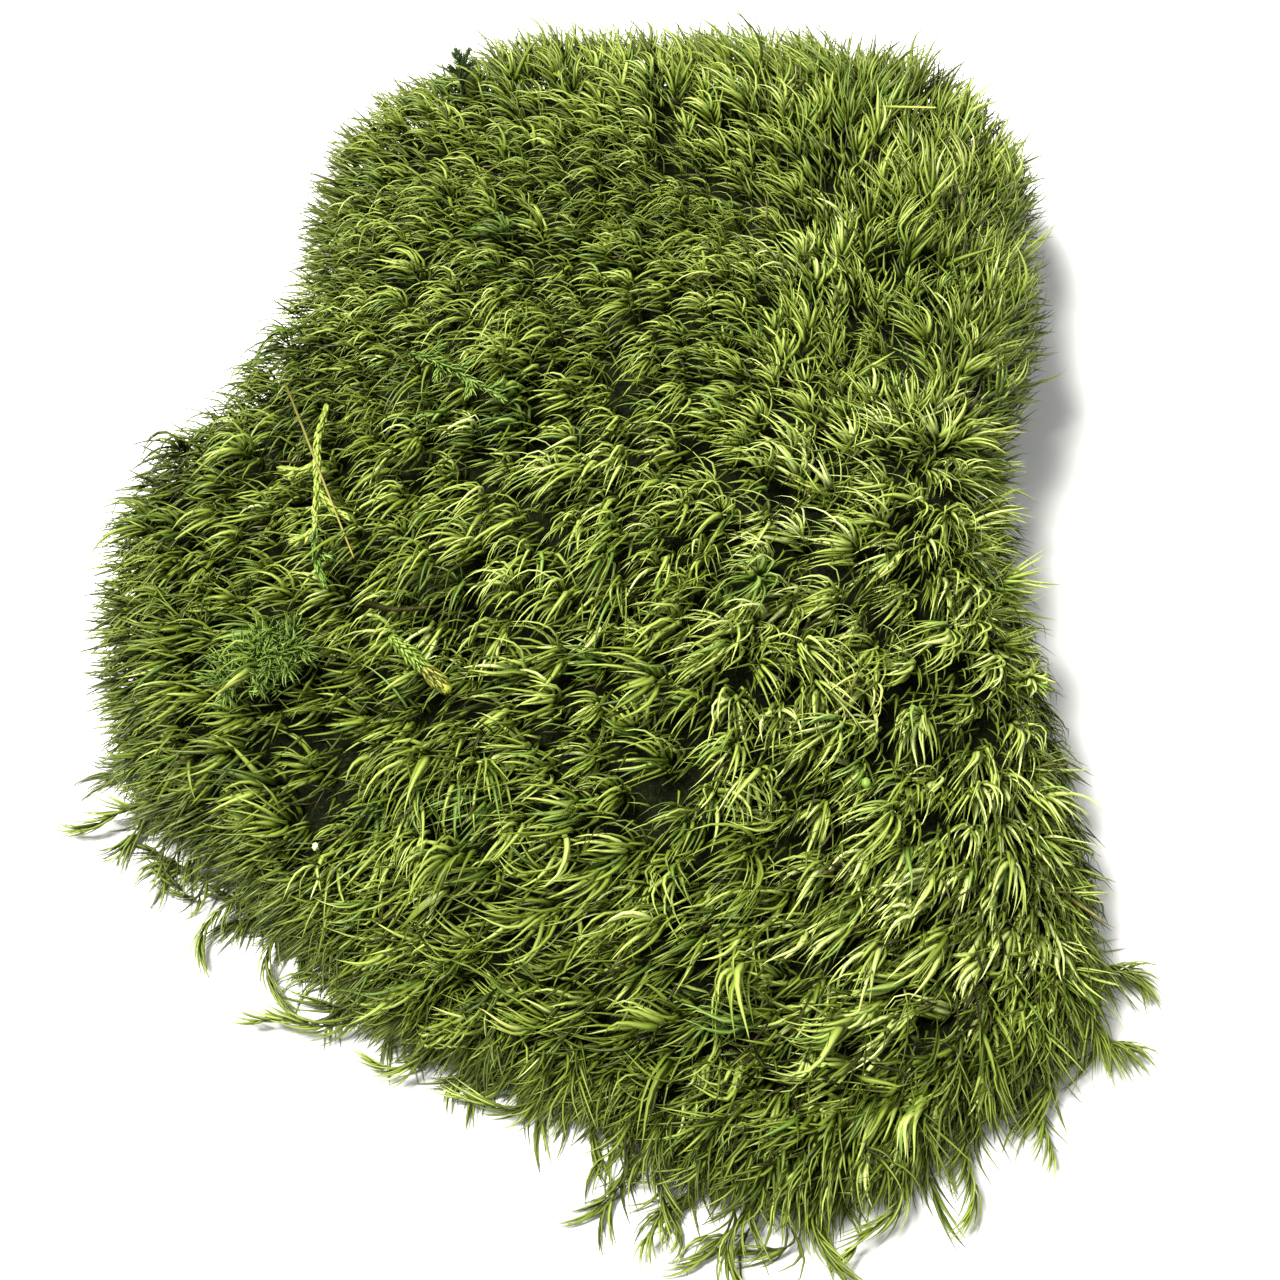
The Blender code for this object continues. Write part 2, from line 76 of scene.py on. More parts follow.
# How the shoots are combed: place (mm from the cushion's middle), compass
# heading of the leaf tips, lean of the shoot towards it and tilt of its axis
# to the back (degrees), length of its leafy part and of its leaves (mm), how
# widely the leaves fan out, how far they arch over, distance to the next
# shoot (mm), and how much lighter it is: painted light and shade over the
# regions of the sheet
COMBING = (
    (-50, 108, 150, 22, 24, 6.0, 9.3, 0.16, 0.80, 4.9, -0.14),
    (-20, 124, 120, 20, 32, 6.0, 9.9, 0.18, 0.40, 4.9, -0.10),
    (20, 126, 100, 20, 36, 6.0, 10.3, 0.18, 0.30, 4.9, -0.07),
    (60, 114, 74, 24, 34, 6.0, 10.6, 0.20, 0.26, 5.3, -0.06),
    (82, 88, 48, 34, 26, 6.0, 10.2, 0.24, 0.26, 5.5, -0.04),
    (-45, 75, 178, 22, 28, 6.0, 9.3, 0.14, 1.00, 4.9, -0.14),
    (-10, 92, 176, 22, 32, 6.0, 9.1, 0.14, 1.00, 4.7, -0.14),
    (18, 98, 140, 20, 36, 6.0, 9.3, 0.18, 0.60, 4.7, -0.10),
    (45, 88, 84, 22, 38, 6.0, 9.7, 0.18, 0.26, 4.9, -0.04),
    (10, 72, 180, 22, 32, 6.0, 8.9, 0.14, 1.05, 4.7, -0.12),
    (36, 64, 120, 22, 34, 6.0, 8.7, 0.20, 0.60, 4.7, -0.07),
    (62, 64, 62, 28, 34, 6.0, 9.8, 0.20, 0.28, 5.3, -0.06),
    (-68, 50, 196, 28, 22, 4.6, 9.8, 0.34, 0.90, 5.5, -0.21),
    (-30, 42, 196, 24, 26, 4.6, 9.8, 0.34, 1.00, 5.3, -0.06),
    (8, 50, 194, 22, 28, 6.0, 8.7, 0.18, 1.05, 4.9, -0.06),
    (40, 42, 125, 20, 26, 6.0, 8.0, 0.30, 0.75, 4.9, -0.06),
    (70, 44, 28, 38, 22, 6.0, 9.2, 0.28, 0.30, 5.5, 0.00),
    (-78, 20, 198, 36, 18, 4.6, 10.3, 0.34, 0.80, 6.0, -0.24),
    (-90, 5, 190, 48, 12, 6.5, 10.3, 0.34, 0.60, 6.0, -0.25),
    (-45, 2, 212, 30, 20, 4.6, 10.5, 0.34, 1.00, 6.0, -0.09),
    (-10, 10, 218, 26, 22, 4.6, 10.5, 0.34, 1.00, 5.9, -0.01),
    (25, 10, 232, 26, 16, 3.2, 10.4, 0.50, 0.36, 5.7, 0.11),
    (52, 18, 245, 28, 14, 3.2, 10.0, 0.50, 0.36, 5.9, 0.13),
    (75, 14, -8, 54, 8, 6.0, 8.8, 0.34, 0.30, 5.5, 0.08),
    (66, -15, 250, 30, 8, 3.2, 10.2, 0.50, 0.36, 6.0, 0.25),
    (82, -24, 308, 46, 4, 3.2, 8.8, 0.50, 0.36, 5.6, 0.14),
    (38, -22, 234, 34, 10, 3.2, 11.0, 0.50, 0.36, 6.0, 0.18),
    (0, -32, 210, 40, 8, 5.0, 11.0, 0.36, 0.80, 6.3, 0.00),
    (-45, -28, 208, 46, 8, 6.5, 11.3, 0.34, 0.70, 6.3, -0.07),
    (-70, -22, 204, 54, 4, 6.5, 11.1, 0.34, 0.60, 6.0, -0.17),
    (-30, -52, 203, 60, 0, 12.0, 12.0, 0.16, 0.50, 5.5, -0.07),
    (8, -60, 202, 62, 0, 13.0, 12.0, 0.16, 0.50, 5.1, -0.09),
    (42, -62, 210, 62, 0, 13.0, 12.0, 0.16, 0.50, 5.1, 0.10),
    (74, -50, 262, 54, 0, 10.0, 9.6, 0.30, 0.60, 5.5, 0.15),
    (20, -82, 216, 68, 0, 14.0, 11.4, 0.16, 0.50, 4.6, -0.11),
    (52, -78, 226, 68, 0, 14.0, 11.4, 0.16, 0.50, 4.6, -0.05),
)
COMBING_REACH = 15.0    # mm over which one of these places has its say

# Trailing shoots: bearing of the place they leave the rim, heading there,
# heading at the tip (degrees), length, half-width, as in the CAD part
TRAILING = {
    "trailing_shoot_%s_%d" % (side, place + 1): row for side, rows in (
        ("left", ((197, 196, 176, 0.0185, 0.0016),
                  (208, 212, 268, 0.0190, 0.0012),
                  (214, 230, 304, 0.0215, 0.0011),
                  (235, 216, 180, 0.0230, 0.0017))),
        ("front_left", ((248, 222, 176, 0.0180, 0.0017),
                        (261, 232, 170, 0.0175, 0.0015))),
        ("front", ((275, 244, 262, 0.0180, 0.0015),
                   (283, 240, 284, 0.0210, 0.0018),
                   (290, 246, 298, 0.0220, 0.0019),
                   (298, 262, 236, 0.0200, 0.0017),
                   (307, 280, 240, 0.0210, 0.0017),
                   (315, 296, 250, 0.0185, 0.0015))),
        ("right", ((320, 330, 300, 0.0140, 0.0020),
                   (325, 342, 312, 0.0135, 0.0017))))
    for place, row in enumerate(rows)}
TUCK = 0.0060              # how far such a shoot starts inside the rim

CANDIDATES = 16000         # places tried for the shoots
TUFT_SPACING = 0.0135
FINE_PATCH, FINE_REACH = (0.034, 0.038), 0.017    # where the headings mix
LEAFY_SPAN, OLD_SPAN = (0.36, 1.0), (0.05, 0.45)  # parts of a stem with leaves
STOUT_SHARE, HAIR_SHARE = 0.03, 0.20              # of the green leaves
LEAF_TONE, OLD_TONE, STEM_TONE = 0.69, 0.32, 0.30
ROOT_FLOOR, KNEE_FLOOR = 0.0012, 0.0020           # no root or knee is lower
SIDE_STEEPNESS = 0.35      # from here on a shoot shows its old leaves
UNDER_DEPTH, UNDER_LENGTH = (0.0042, 0.0086), (0.0050, 0.0090)
THATCH_DEPTH = 0.0105      # below the leaf tips
THATCH_LUMP, FELT_LUMP = 0.0007, 0.0003
FELT_Z = 0.0008
FIBRES, FIBRE_LENGTH, FIBRE_WIDTH = 900, (0.006, 0.014), (0.00025, 0.0006)
STEM_HALF, FRINGE_STEM_HALF = 0.00024, 0.00022
FRINGE_ARC, FRINGE_LENGTH = (188, 338), (0.007, 0.018)
SKIRT_LENGTH, SKIRT_WIDTH = (0.0050, 0.0095), (0.0006, 0.0011)
GOLDEN = math.radians(137.508)
MM = 0.001
YELLOW_GREEN, FRESH, STRAW, BROWN = 0, 1, 2, 3    # leaf colour families
UP = np.array((0.0, 0.0, 1.0))

# Pieces on top: middle lines in plan, and side branches as place along the
# line, reach to its left and reach forward
STRAW_LINE = ((-0.0525, 0.0350), (-0.0535, 0.0270), (-0.0530, 0.0190),
              (-0.0528, 0.0110), (-0.0518, 0.0040), (-0.0490, -0.0025))
STRAW_BRANCHES = ((0.48, -0.0048, 0.0010), (0.68, 0.0044, 0.0050),
                  (0.97, -0.0026, 0.0022))
SPRIG_LINE = ((-0.0390, 0.0428), (-0.0338, 0.0402), (-0.0285, 0.0370),
              (-0.0228, 0.0336))
SPRIG_BRANCHES = ((0.16, 0.0028, 0.0018), (0.33, -0.0030, 0.0018),
                  (0.5, 0.0030, 0.0018), (0.66, -0.0026, 0.0016),
                  (0.83, 0.0020, 0.0014))
PATCH_LINE = ((-0.0672, -0.0140), (-0.0625, -0.0112), (-0.0575, -0.0095),
              (-0.0528, -0.0082))
PATCH_BRANCHES = ((0.08, 0.0024, -0.0026), (0.12, -0.0026, -0.0024),
                  (0.15, 0.0040, -0.0006), (0.31, -0.0050, 0.0006),
                  (0.38, 0.0030, -0.0012), (0.46, 0.0050, 0.0010),
                  (0.55, -0.0034, -0.0008), (0.62, -0.0050, 0.0014),
                  (0.77, 0.0038, 0.0018), (0.84, -0.0030, 0.0022))
LIME_LINE = ((-0.0395, -0.0085), (-0.0350, -0.0125), (-0.0295, -0.0175))
DARK_LINE = ((-0.0334, 0.1105), (-0.0336, 0.1160))
DARK_BRANCHES = ((0.25, -0.0014, 0.0014), (0.33, 0.0018, 0.0014),
                 (0.45, -0.0020, 0.0014), (0.55, 0.0014, 0.0014),
                 (0.66, 0.0016, 0.0014))
NEEDLE_LINE = ((-0.0603, 0.0398), (-0.0455, 0.0036))
DEAD_LINE = ((-0.0440, -0.0030), (-0.0387, -0.0042), (-0.0335, -0.0040))
BROWN_LINE = ((0.0310, 0.1100), (0.0295, 0.1075), (0.0270, 0.1045))
PALE_LINE = ((0.0440, 0.1035), (0.0555, 0.1032))
BROAD_LINE = ((-0.0373, -0.0508), (-0.0338, -0.0481), (-0.0301, -0.0456))

# Studio: lamps as name, place, width, power, colour; camera in degrees, m, mm
LAMPS = (("key", (-0.48, 0.16, 1.0), 0.45, 36.0, (1.0, 0.98, 0.93)),
         ("fill", (0.9, -0.7, 0.9), 0.9, 4.0, (0.95, 0.98, 1.0)))
LAMP_TARGET = (0, 0, 0.02)
SKY_STRENGTH = 0.32
FLOOR_HALF = 3.0
CAMERA_TILT, CAMERA_AWAY, CAMERA_LENS = 60.0, 0.305, 51.8
CAMERA_TARGET = (0.0, -0.0018, 0.023)


def unit(v):
    """v scaled to length 1 along its last axis."""
    return v / np.maximum(np.linalg.norm(v, axis=-1, keepdims=True), 1e-12)


def smooth(x, lo, hi):
    """Smooth step: 0 below lo, 1 above hi, 3t^2 - 2t^3 between."""
    t = np.clip((x - lo) / (hi - lo), 0, 1)
    return t * t * (3 - 2 * t)


# ---- the cushion
def rim_reach(bearing):
    """Reach of the rim at a bearing, rounded through the listed places."""
    deg = np.array([b for b, _ in RIM], float)
    reach = np.array([r for _, r in RIM])
    deg = np.concatenate([deg[-3:] - 360, deg, deg[:3] + 360])
    reach = np.concatenate([reach[-3:], reach, reach[:3]])
    fine = np.linspace(deg[0], deg[-1], 2400)
    soft = np.convolve(np.interp(fine, deg, reach), np.ones(21) / 21, "same")
    return np.interp(np.degrees(bearing) % 360, fine, soft)


def top_height(x, y):
    """Height of the leaf tips over the plan: a crest that falls with the
    square of the way down the slope and of the way to the sides, plus three
    crossing sine swells."""
    down = np.clip((SLOPE_START_Y - y) / SLOPE_LENGTH, 0, 1)
    height = CREST_HEIGHT - FRONT_DROP * down ** 2
    height = height * (1 - CROWN_FALL * ((x + 0.005) / CROWN_HALF_WIDTH) ** 2)
    swell = (np.sin(x / 0.0071 + 1.3 * np.sin(y / 0.0125))
             + np.sin(y / 0.0064 + 1.1 * np.sin(x / 0.0140) + 2.0)
             + np.sin((x + y) / 0.0098 + 0.7))
    return height + SWELL * swell / 2.2


def edge_form(bearing):
    """Height of the rim at a bearing, and the power of its superellipse."""
    front = np.clip(0.15 - np.sin(bearing), 0, 1)
    return (RIM_HEIGHT_BACK + (RIM_HEIGHT_FRONT - RIM_HEIGHT_BACK) * front,
            4.2 - 1.8 * front)


def cushion_point(bearing, turn, inset=0.0, sunk=0.0):
    """Point of the cushion's outer surface, or of one inside it.

    turn 0..1 goes from the crown to the rim on a superellipse, reach times
    sin^(2/p) outwards and height times cos^(2/p) upwards, and 1..1.3 goes
    straight in under the rim to the cut. inset is taken off the reach and
    sunk off the height of the top.
    """
    reach = rim_reach(bearing) - inset
    rim_z, power = edge_form(bearing)
    angle = np.clip(turn, 0, 1) * math.pi / 2
    under = np.clip((turn - 1) / 0.3, 0, 1)
    away = reach * np.sin(angle) ** (2 / power) - UNDERCUT * under
    x, y = away * np.cos(bearing), away * np.sin(bearing)
    rise = np.maximum(np.cos(angle), 0) ** (2 / power)
    rim_z = np.minimum(rim_z, np.maximum(top_height(x, y) - sunk, 0.0012))
    top = np.maximum(top_height(x, y) - sunk, rim_z)
    z = rim_z * (1 - under) + (top - rim_z) * rise
    return np.stack([x, y, z], -1)


def surface_at(x, y):
    """Height of the cushion's outer surface over a place of the plan."""
    bearing = np.arctan2(y, x)
    rho = np.clip(np.hypot(x, y) / rim_reach(bearing), 0, 1)
    rim_z, power = edge_form(bearing)
    drop = np.maximum(1 - rho ** power, 0) ** (1 / power)
    return rim_z + (top_height(x, y) - rim_z) * drop


def cushion_patches():
    """Corners, outward normals and areas of a fine net over the cushion."""
    turn = np.concatenate([np.linspace(0, 1, 130) ** 1.35,
                           np.linspace(1, 1.16, 7)[1:]])
    bearing = np.linspace(0, 2 * math.pi, 361)
    net = cushion_point(bearing[None, :], turn[:, None])
    a, b = net[:-1, :-1], net[1:, :-1]
    c, d = net[1:, 1:], net[:-1, 1:]
    cross = np.cross(c - a, d - b)
    area = np.linalg.norm(cross, axis=-1) / 2
    return np.stack([a, b, c, d], 2).reshape(-1, 4, 3), \
        unit(cross).reshape(-1, 3), area.ravel()


def scatter(rng, number, patches, weight):
    """Points on the patches, as many on each as its weight asks, at random
    between its corners by bilinear shares; and the patch of each."""
    pick = rng.choice(len(weight), number, p=weight / weight.sum())
    u, v = rng.random((2, number, 1))
    a, b, c, d = np.moveaxis(patches[pick], 1, 0)
    return (1 - u) * ((1 - v) * a + v * d) + u * ((1 - v) * b + v * c), pick


def spaced(points, gap, order):
    """Keeps the points, in that order, that lie at least gap from all kept."""
    kept = np.empty((0, 3))
    chosen = []
    for i in order:
        apart = ((kept - points[i]) ** 2).sum(1)
        if not len(kept) or apart.min() > gap[i] ** 2:
            kept = np.vstack([kept, points[i]])
            chosen.append(i)
    return np.array(chosen)


def combed(points):
    """Heading, lean, tilt, leafy length, leaf length, fan, arch, spacing and
    lightness (painted light and shade) at each point: a weighted mean of
    COMBING, weights exp(-d^2 / 2r^2)."""
    table = np.array(COMBING, float)
    apart = ((points[:, None, :2] / MM - table[None, :, :2]) ** 2).sum(-1)
    weight = np.exp(-apart / (2 * COMBING_REACH ** 2)) + 1e-9
    weight /= weight.sum(1, keepdims=True)
    turn = np.radians(table[:, 2])
    heading = np.stack([weight @ np.cos(turn), weight @ np.sin(turn),
                        np.zeros(len(points))], 1)
    mean = weight @ table[:, 3:]
    mean[:, :2] = np.radians(mean[:, :2])
    mean[:, (2, 3, 6)] *= MM
    return (unit(heading),) + tuple(mean.T)


def clawed(p):
    """1 where the shoots stand apart like claws, right of the middle and in
    front: the product of two smooth steps."""
    return smooth(p[:, 0], 0.005, 0.035) * smooth(-p[:, 1], -0.025, -0.005)


def flow(x, y):
    """How far the combing wanders, in radians: two crossing sine waves."""
    return 0.19 * (np.sin(x / 0.0085 + 1.7 * np.sin(y / 0.0120))
                   + np.sin(y / 0.0068 + 1.4 * np.sin(x / 0.0130) + 1.0))


# ---- surfaces
def tube_faces(rows, sides):
    """Triangles of a closed tube: a point, rows rings of sides, a point."""
    j = np.arange(sides)
    k = (j + 1) % sides
    i = np.arange(rows - 1)[:, None] * sides + 1
    first = np.stack([0 * j, 1 + k, 1 + j], 1)
    near = np.stack([i + j, i + k, i + sides + k], -1).reshape(-1, 3)
    far = np.stack([i + j, i + sides + k, i + sides + j], -1).reshape(-1, 3)
    last = 1 + (rows - 1) * sides
    end = np.stack([last + j, last + k, 0 * j + last + sides], 1)
    return np.vstack([first, near, far, end])


def palette(tone, family, along):
    """Places on the leaf palette: tone across, family and place along up."""
    up = (family + 0.05 + 0.90 * along) / 4
    return np.stack(np.broadcast_arrays(np.clip(tone, 0.02, 0.98), up),
                    -1).reshape(-1, 2)


def blades(base, out, tip, curl, length, width, facing, rings, tone, family,
           wave=0.0, bow=0.0):
    """Leaves as slim closed horns with a three-cornered section.

    Each runs from base along out and swings over to tip: its heading at t is
    (1 - g) out + g tip + curl t^2 + wave sin(2 pi t) + bow sin(pi t) with g
    a smooth step, summed over its length. Its half-width is width/2 times
    min(1, 0.7 + 2t) times (1 - t^1.2)^1.05. It lies across the cross
    product of its chord and facing, and its keel stands out towards facing.
    """
    count, stations = len(base), rings + 2
    tone, family = (np.broadcast_to(v, count) for v in (tone, family))
    t = np.linspace(0, 1, stations)
    mid = (t[1:] + t[:-1]) / 2
    g = smooth(mid, -0.15, 1.05)[None, :, None]
    wave, bow = (np.broadcast_to(v, base.shape)[:, None] for v in (wave, bow))
    heading = unit((1 - g) * out[:, None] + g * tip[:, None]
                   + curl[:, None] * (mid ** 2)[None, :, None]
                   + wave * np.sin(2 * math.pi * mid)[None, :, None]
                   + bow * np.sin(math.pi * mid)[None, :, None])
    steps = heading * (length[:, None] * np.diff(t)[None])[..., None]
    path = base[:, None] + np.concatenate(
        [np.zeros((count, 1, 3)), np.cumsum(steps, 1)], 1)
    along = unit(path[:, 2:] - path[:, :-2])
    across = np.cross(path[:, -1] - path[:, 0], facing)[:, None]
    side = unit(across - along * (across * along).sum(-1, keepdims=True))
    over = np.cross(side, along)
    inner = t[1:-1]
    half = (width[:, None] / 2 * np.minimum(1, 0.70 + 2 * inner)
            * (1 - inner ** 1.2) ** 1.05)[..., None]
    left = path[:, 1:-1] + side * half - over * half * 0.30
    right = path[:, 1:-1] - side * half - over * half * 0.30
    keel = path[:, 1:-1] + over * half * 0.48
    body = np.stack([left, right, keel], 2).reshape(count, -1, 3)
    verts = np.concatenate([path[:, :1], body, path[:, -1:]], 1)
    first = np.arange(count) * verts.shape[1]
    faces = tube_faces(rings, 3)[None] + first[:, None, None]
    # Tone across the section: the keel and one edge lighter, the other edge
    # darker; partly a paler midrib, partly painted highlight along the keel
    # and painted shade on one edge
    lift = np.concatenate([[0.0], np.tile((-0.035, 0.02, 0.045), rings),
                           [0.0]])
    place = np.concatenate([[0.0], np.repeat(inner, 3), [1.0]])
    return (verts.reshape(-1, 3), faces.reshape(-1, 3),
            palette(tone[:, None] + lift[None], family[:, None], place[None]))


def cord(path, half_width, half_height, sides, tone, family, twist=0.0,
         lump=1.0):
    """A closed cord: rings cos, sin round a path, a point at both ends."""
    along = unit(np.gradient(path, axis=0))
    side = unit(np.cross(along, UP) + (1e-9, 0, 0))
    over = np.cross(side, along)
    inner = slice(1, len(path) - 1)
    rows = len(path) - 2
    turn = np.linspace(0, 2 * math.pi, sides, endpoint=False)[None, :]
    turn = turn + twist * np.arange(rows)[:, None]
    swell = np.broadcast_to(lump, (len(path), sides))[:rows]
    wide = (half_width[inner, None] * swell)[..., None]
    high = (half_height[inner, None] * swell)[..., None]
    body = path[inner, None] + np.cos(turn)[..., None] * wide \
        * side[inner, None] + np.sin(turn)[..., None] * high \
        * over[inner, None]
    verts = np.vstack([path[:1], body.reshape(-1, 3), path[-1:]])
    place = np.repeat(np.linspace(0, 1, len(path))[inner], sides)
    around = np.tile(np.arange(sides) / sides, rows)
    around = np.concatenate([[0.5], around, [0.5]])
    return verts, tube_faces(rows, sides), palette(
        tone + 0.10 * (around - 0.5), family,
        np.concatenate([[0.0], place, [1.0]]))


def above_floor(verts, floor=0.0002, soft=0.0006):
    """Lifts what would sink: z becomes floor + s log(1 + exp((z-floor)/s))."""
    z = verts[:, 2]
    lifted = floor + soft * np.logaddexp(0, (z - floor) / soft)
    verts = verts.copy()
    verts[:, 2] = np.where(z > floor + 6 * soft, z, lifted)
    return verts


def make_piece(name, shapes, material, node_name, lift=True):
    """Joins (points, triangles, palette places) into one object on root."""
    offsets = np.cumsum([0] + [len(s[0]) for s in shapes[:-1]])
    verts = np.vstack([s[0] for s in shapes])
    verts = (above_floor(verts) if lift else verts) - MIDDLE
    faces = np.vstack([s[1] + o for s, o in zip(shapes, offsets)])
    uv = np.vstack([s[2] for s in shapes])[faces.ravel()]
    mesh = bpy.data.meshes.new(name)
    mesh.from_pydata(verts, [], faces)
    layer = mesh.uv_layers.new(name="OFBake")
    layer.uv.foreach_set("vector", uv.astype(np.float32).ravel())
    mesh.polygons.foreach_set("use_smooth", np.ones(len(faces), bool))
    mesh.materials.append(material)
    mesh.update()
    obj = bpy.data.objects.new(name, mesh)
    bpy.context.scene.collection.objects.link(obj)
    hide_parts(node_name)
    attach(obj, "root")


# ---- shoots
class Shoots:
    """The cushion's shoots, one row each in every array. A shoot's stem is a
    quadratic Bezier from root by knee to apex. Shoots near each other form a
    tuft and share part of their noise."""

    def __init__(self, settings):
        """Grows all the rows from the settings' seed."""
        self.settings = settings
        self.rng = np.random.default_rng(settings.seed)
        self.place()
        self.stand()
        self.vary()

    def place(self):
        """Finds places the combed spacing apart and the nearest tuft."""
        patches, normal, area = cushion_patches()
        points, pick = scatter(self.rng, CANDIDATES, patches, area)
        steep = smooth(-normal[pick, 2], -0.45, -0.15) \
            * smooth(points[:, 1], -0.04, 0.01)
        gap = self.settings.spacing * combed(points)[7] * (1 + 0.18 * steep)
        chosen = spaced(points, gap, np.arange(len(points)))
        p = self.p = points[chosen]
        self.n = normal[pick[chosen]]
        far = self.rng.permutation(len(p))
        middles = spaced(p, np.full(len(p), TUFT_SPACING), far)
        apart = np.linalg.norm(p[:, None] - p[middles][None], axis=-1)
        self.tuft, self.from_tuft = apart.argmin(1), apart.min(1)
        self.tufts = len(middles)

    def noise(self, together, alone):
        """Normal noise: one part shared by a tuft, one a shoot's own."""
        return self.rng.normal(0, together, self.tufts)[self.tuft] \
            + self.rng.normal(0, alone, len(self.p))

    def stand(self):
        """Works out how each shoot stands: its axis is the normal turned to
        the back by its tilt, and its end leans off the axis towards its
        combed heading. The tuft's middle shoots reach highest."""
        rng, p, n, count = self.rng, self.p, self.n, len(self.p)
        # self.light takes the combed lightness: painted light and shade over
        # the regions
        heading, lean, tilt, leafy, leaf, self.fan, self.arch, _, \
            self.light = combed(p)
        self.claws = clawed(p)
        lying = smooth(-p[:, 1], 0.035, 0.055)
        swing = self.noise(0.22, 0.28 - 0.06 * self.claws - 0.10 * lying) \
            + flow(p[:, 0], p[:, 1])
        self.fine = np.exp(-((p[:, :2] - FINE_PATCH) ** 2).sum(1)
                           / (2 * FINE_REACH ** 2))
        swing = swing + self.fine * rng.normal(0, 0.8, self.tufts)[self.tuft]
        c, s = np.cos(swing), np.sin(swing)
        heading = np.stack([heading[:, 0] * c - heading[:, 1] * s,
                            heading[:, 0] * s + heading[:, 1] * c,
                            np.zeros(count)], 1)
        wall = self.wall = 1 - np.clip(n[:, 2], 0, 1)
        rear = smooth(p[:, 1], -0.010, 0.045) * wall
        self.brink = smooth(p[:, 1], 0.085, 0.115)
        right = smooth(p[:, 0], 0.045, 0.065)
        tilt = np.clip(tilt + rng.normal(0, 0.10, count), 0, 0.9)
        axis = self.axis = unit(
            n * (1 - 0.50 * rear)[:, None] + UP * (0.85 * rear)[:, None]
            + np.array((0.0, 1.0, 0.0)) * np.tan(tilt)[:, None])
        hang = 0.32 * (wall - rear) * (1 - 0.8 * right)
        sweep = heading - UP * hang[:, None] + UP * (0.30 * rear)[:, None]
        along = (sweep * axis).sum(1)
        straight = np.where(along < 0, 0.95, 0.55) * along
        sweep = self.sweep = unit(sweep - axis * straight[:, None])
        lean = np.clip(lean + rng.normal(0, 0.12, count), 0.15, 1.35)
        stiff = self.stiff = smooth(wall * right, 0.10, 0.35) \
            * smooth(-p[:, 1], -0.03, -0.01)
        lean = lean * (1 - 0.25 * rear) * (1 - 0.6 * stiff)
        leafy = self.leafy = leafy * rng.uniform(0.85, 1.15, count)
        self.leaf = leaf * rng.uniform(0.80, 1.20, count) \
            * self.settings.leaf_scale * (1 - 0.25 * stiff)
        self.rise = unit(axis * np.cos(lean)[:, None]
                         + sweep * np.sin(lean)[:, None])
        self.lie = smooth(lean, 0.95, 1.2)
        relief = self.settings.relief * smooth(self.from_tuft, 0.002, 0.0085) \
            - 0.0010 + rng.normal(0, 0.0010, count)
        depth = 0.0040 - 0.0012 * self.lie + relief * (1 - 0.6 * self.brink) \
            - 0.0026 * self.brink - 0.0008 * right
        self.apex = p - n * depth[:, None]
        self.knee = self.apex - self.rise * (leafy * 0.55)[:, None]
        self.root = self.knee - unit(axis * 0.9 + sweep * 0.2) \
            * (leafy * 0.55 + 0.005)[:, None]
        self.root[:, 2] = np.maximum(self.root[:, 2], ROOT_FLOOR)
        self.knee[:, 2] = np.maximum(self.knee[:, 2], KNEE_FLOOR)

    def vary(self):
        """Draws what sets one shoot's leaves apart from the next one's."""
        rng, p, count, settings = self.rng, self.p, len(self.p), self.settings
        # Random tone by tuft and by shoot, plus the combed lightness, which is
        # painted light and shade
        self.shoot_tone_and_painted_light = self.noise(0.05, 0.04) + self.light
        self.fresh = rng.random(count) < settings.fresh_share
        self.straw = rng.random(count) < settings.straw_share
        self.edge = smooth(p[:, 0], 0.062, 0.076) \
            * smooth(-p[:, 1], -0.012, 0.008) * smooth(p[:, 1], -0.055, -0.040)
        self.looping = self.noise(0.7, 0.7) * (0.12 + 0.60 * self.lie)
        self.ripple = rng.normal(0, 1, count) * (0.08 + 0.30 * self.lie)
        self.phase = rng.uniform(0, 2 * math.pi, (count, 1))
        self.bend = (0.32 + 1.20 * self.lie) * self.noise(0.7, 0.7)

    def stem_at(self, t):
        """Places and headings on the stems at shares t of their length."""
        t = t[..., None]
        a, b, d = self.root[:, None], self.knee[:, None], self.apex[:, None]
        return ((1 - t) ** 2 * a + 2 * t * (1 - t) * b + t * t * d,
                unit(2 * (1 - t) * (b - a) + 2 * t * (d - b)))

    def old_form(self, tangent, radial, noise, more):
        """Withered leaves: they stand off widely and sag."""
        w, ax = self.sweep[:, None], self.axis[:, None]
        open_at = np.radians(62) + 0.2 * noise[..., :1]
        return dict(out=np.cos(open_at) * tangent + np.sin(open_at) * radial,
                    tip=0.55 * radial + 0.35 * w - 0.15 * ax + 0.22 * more,
                    curl=-0.5 * ax + 0.3 * noise, wave=0.15 * noise,
                    bow=0.0 * w)

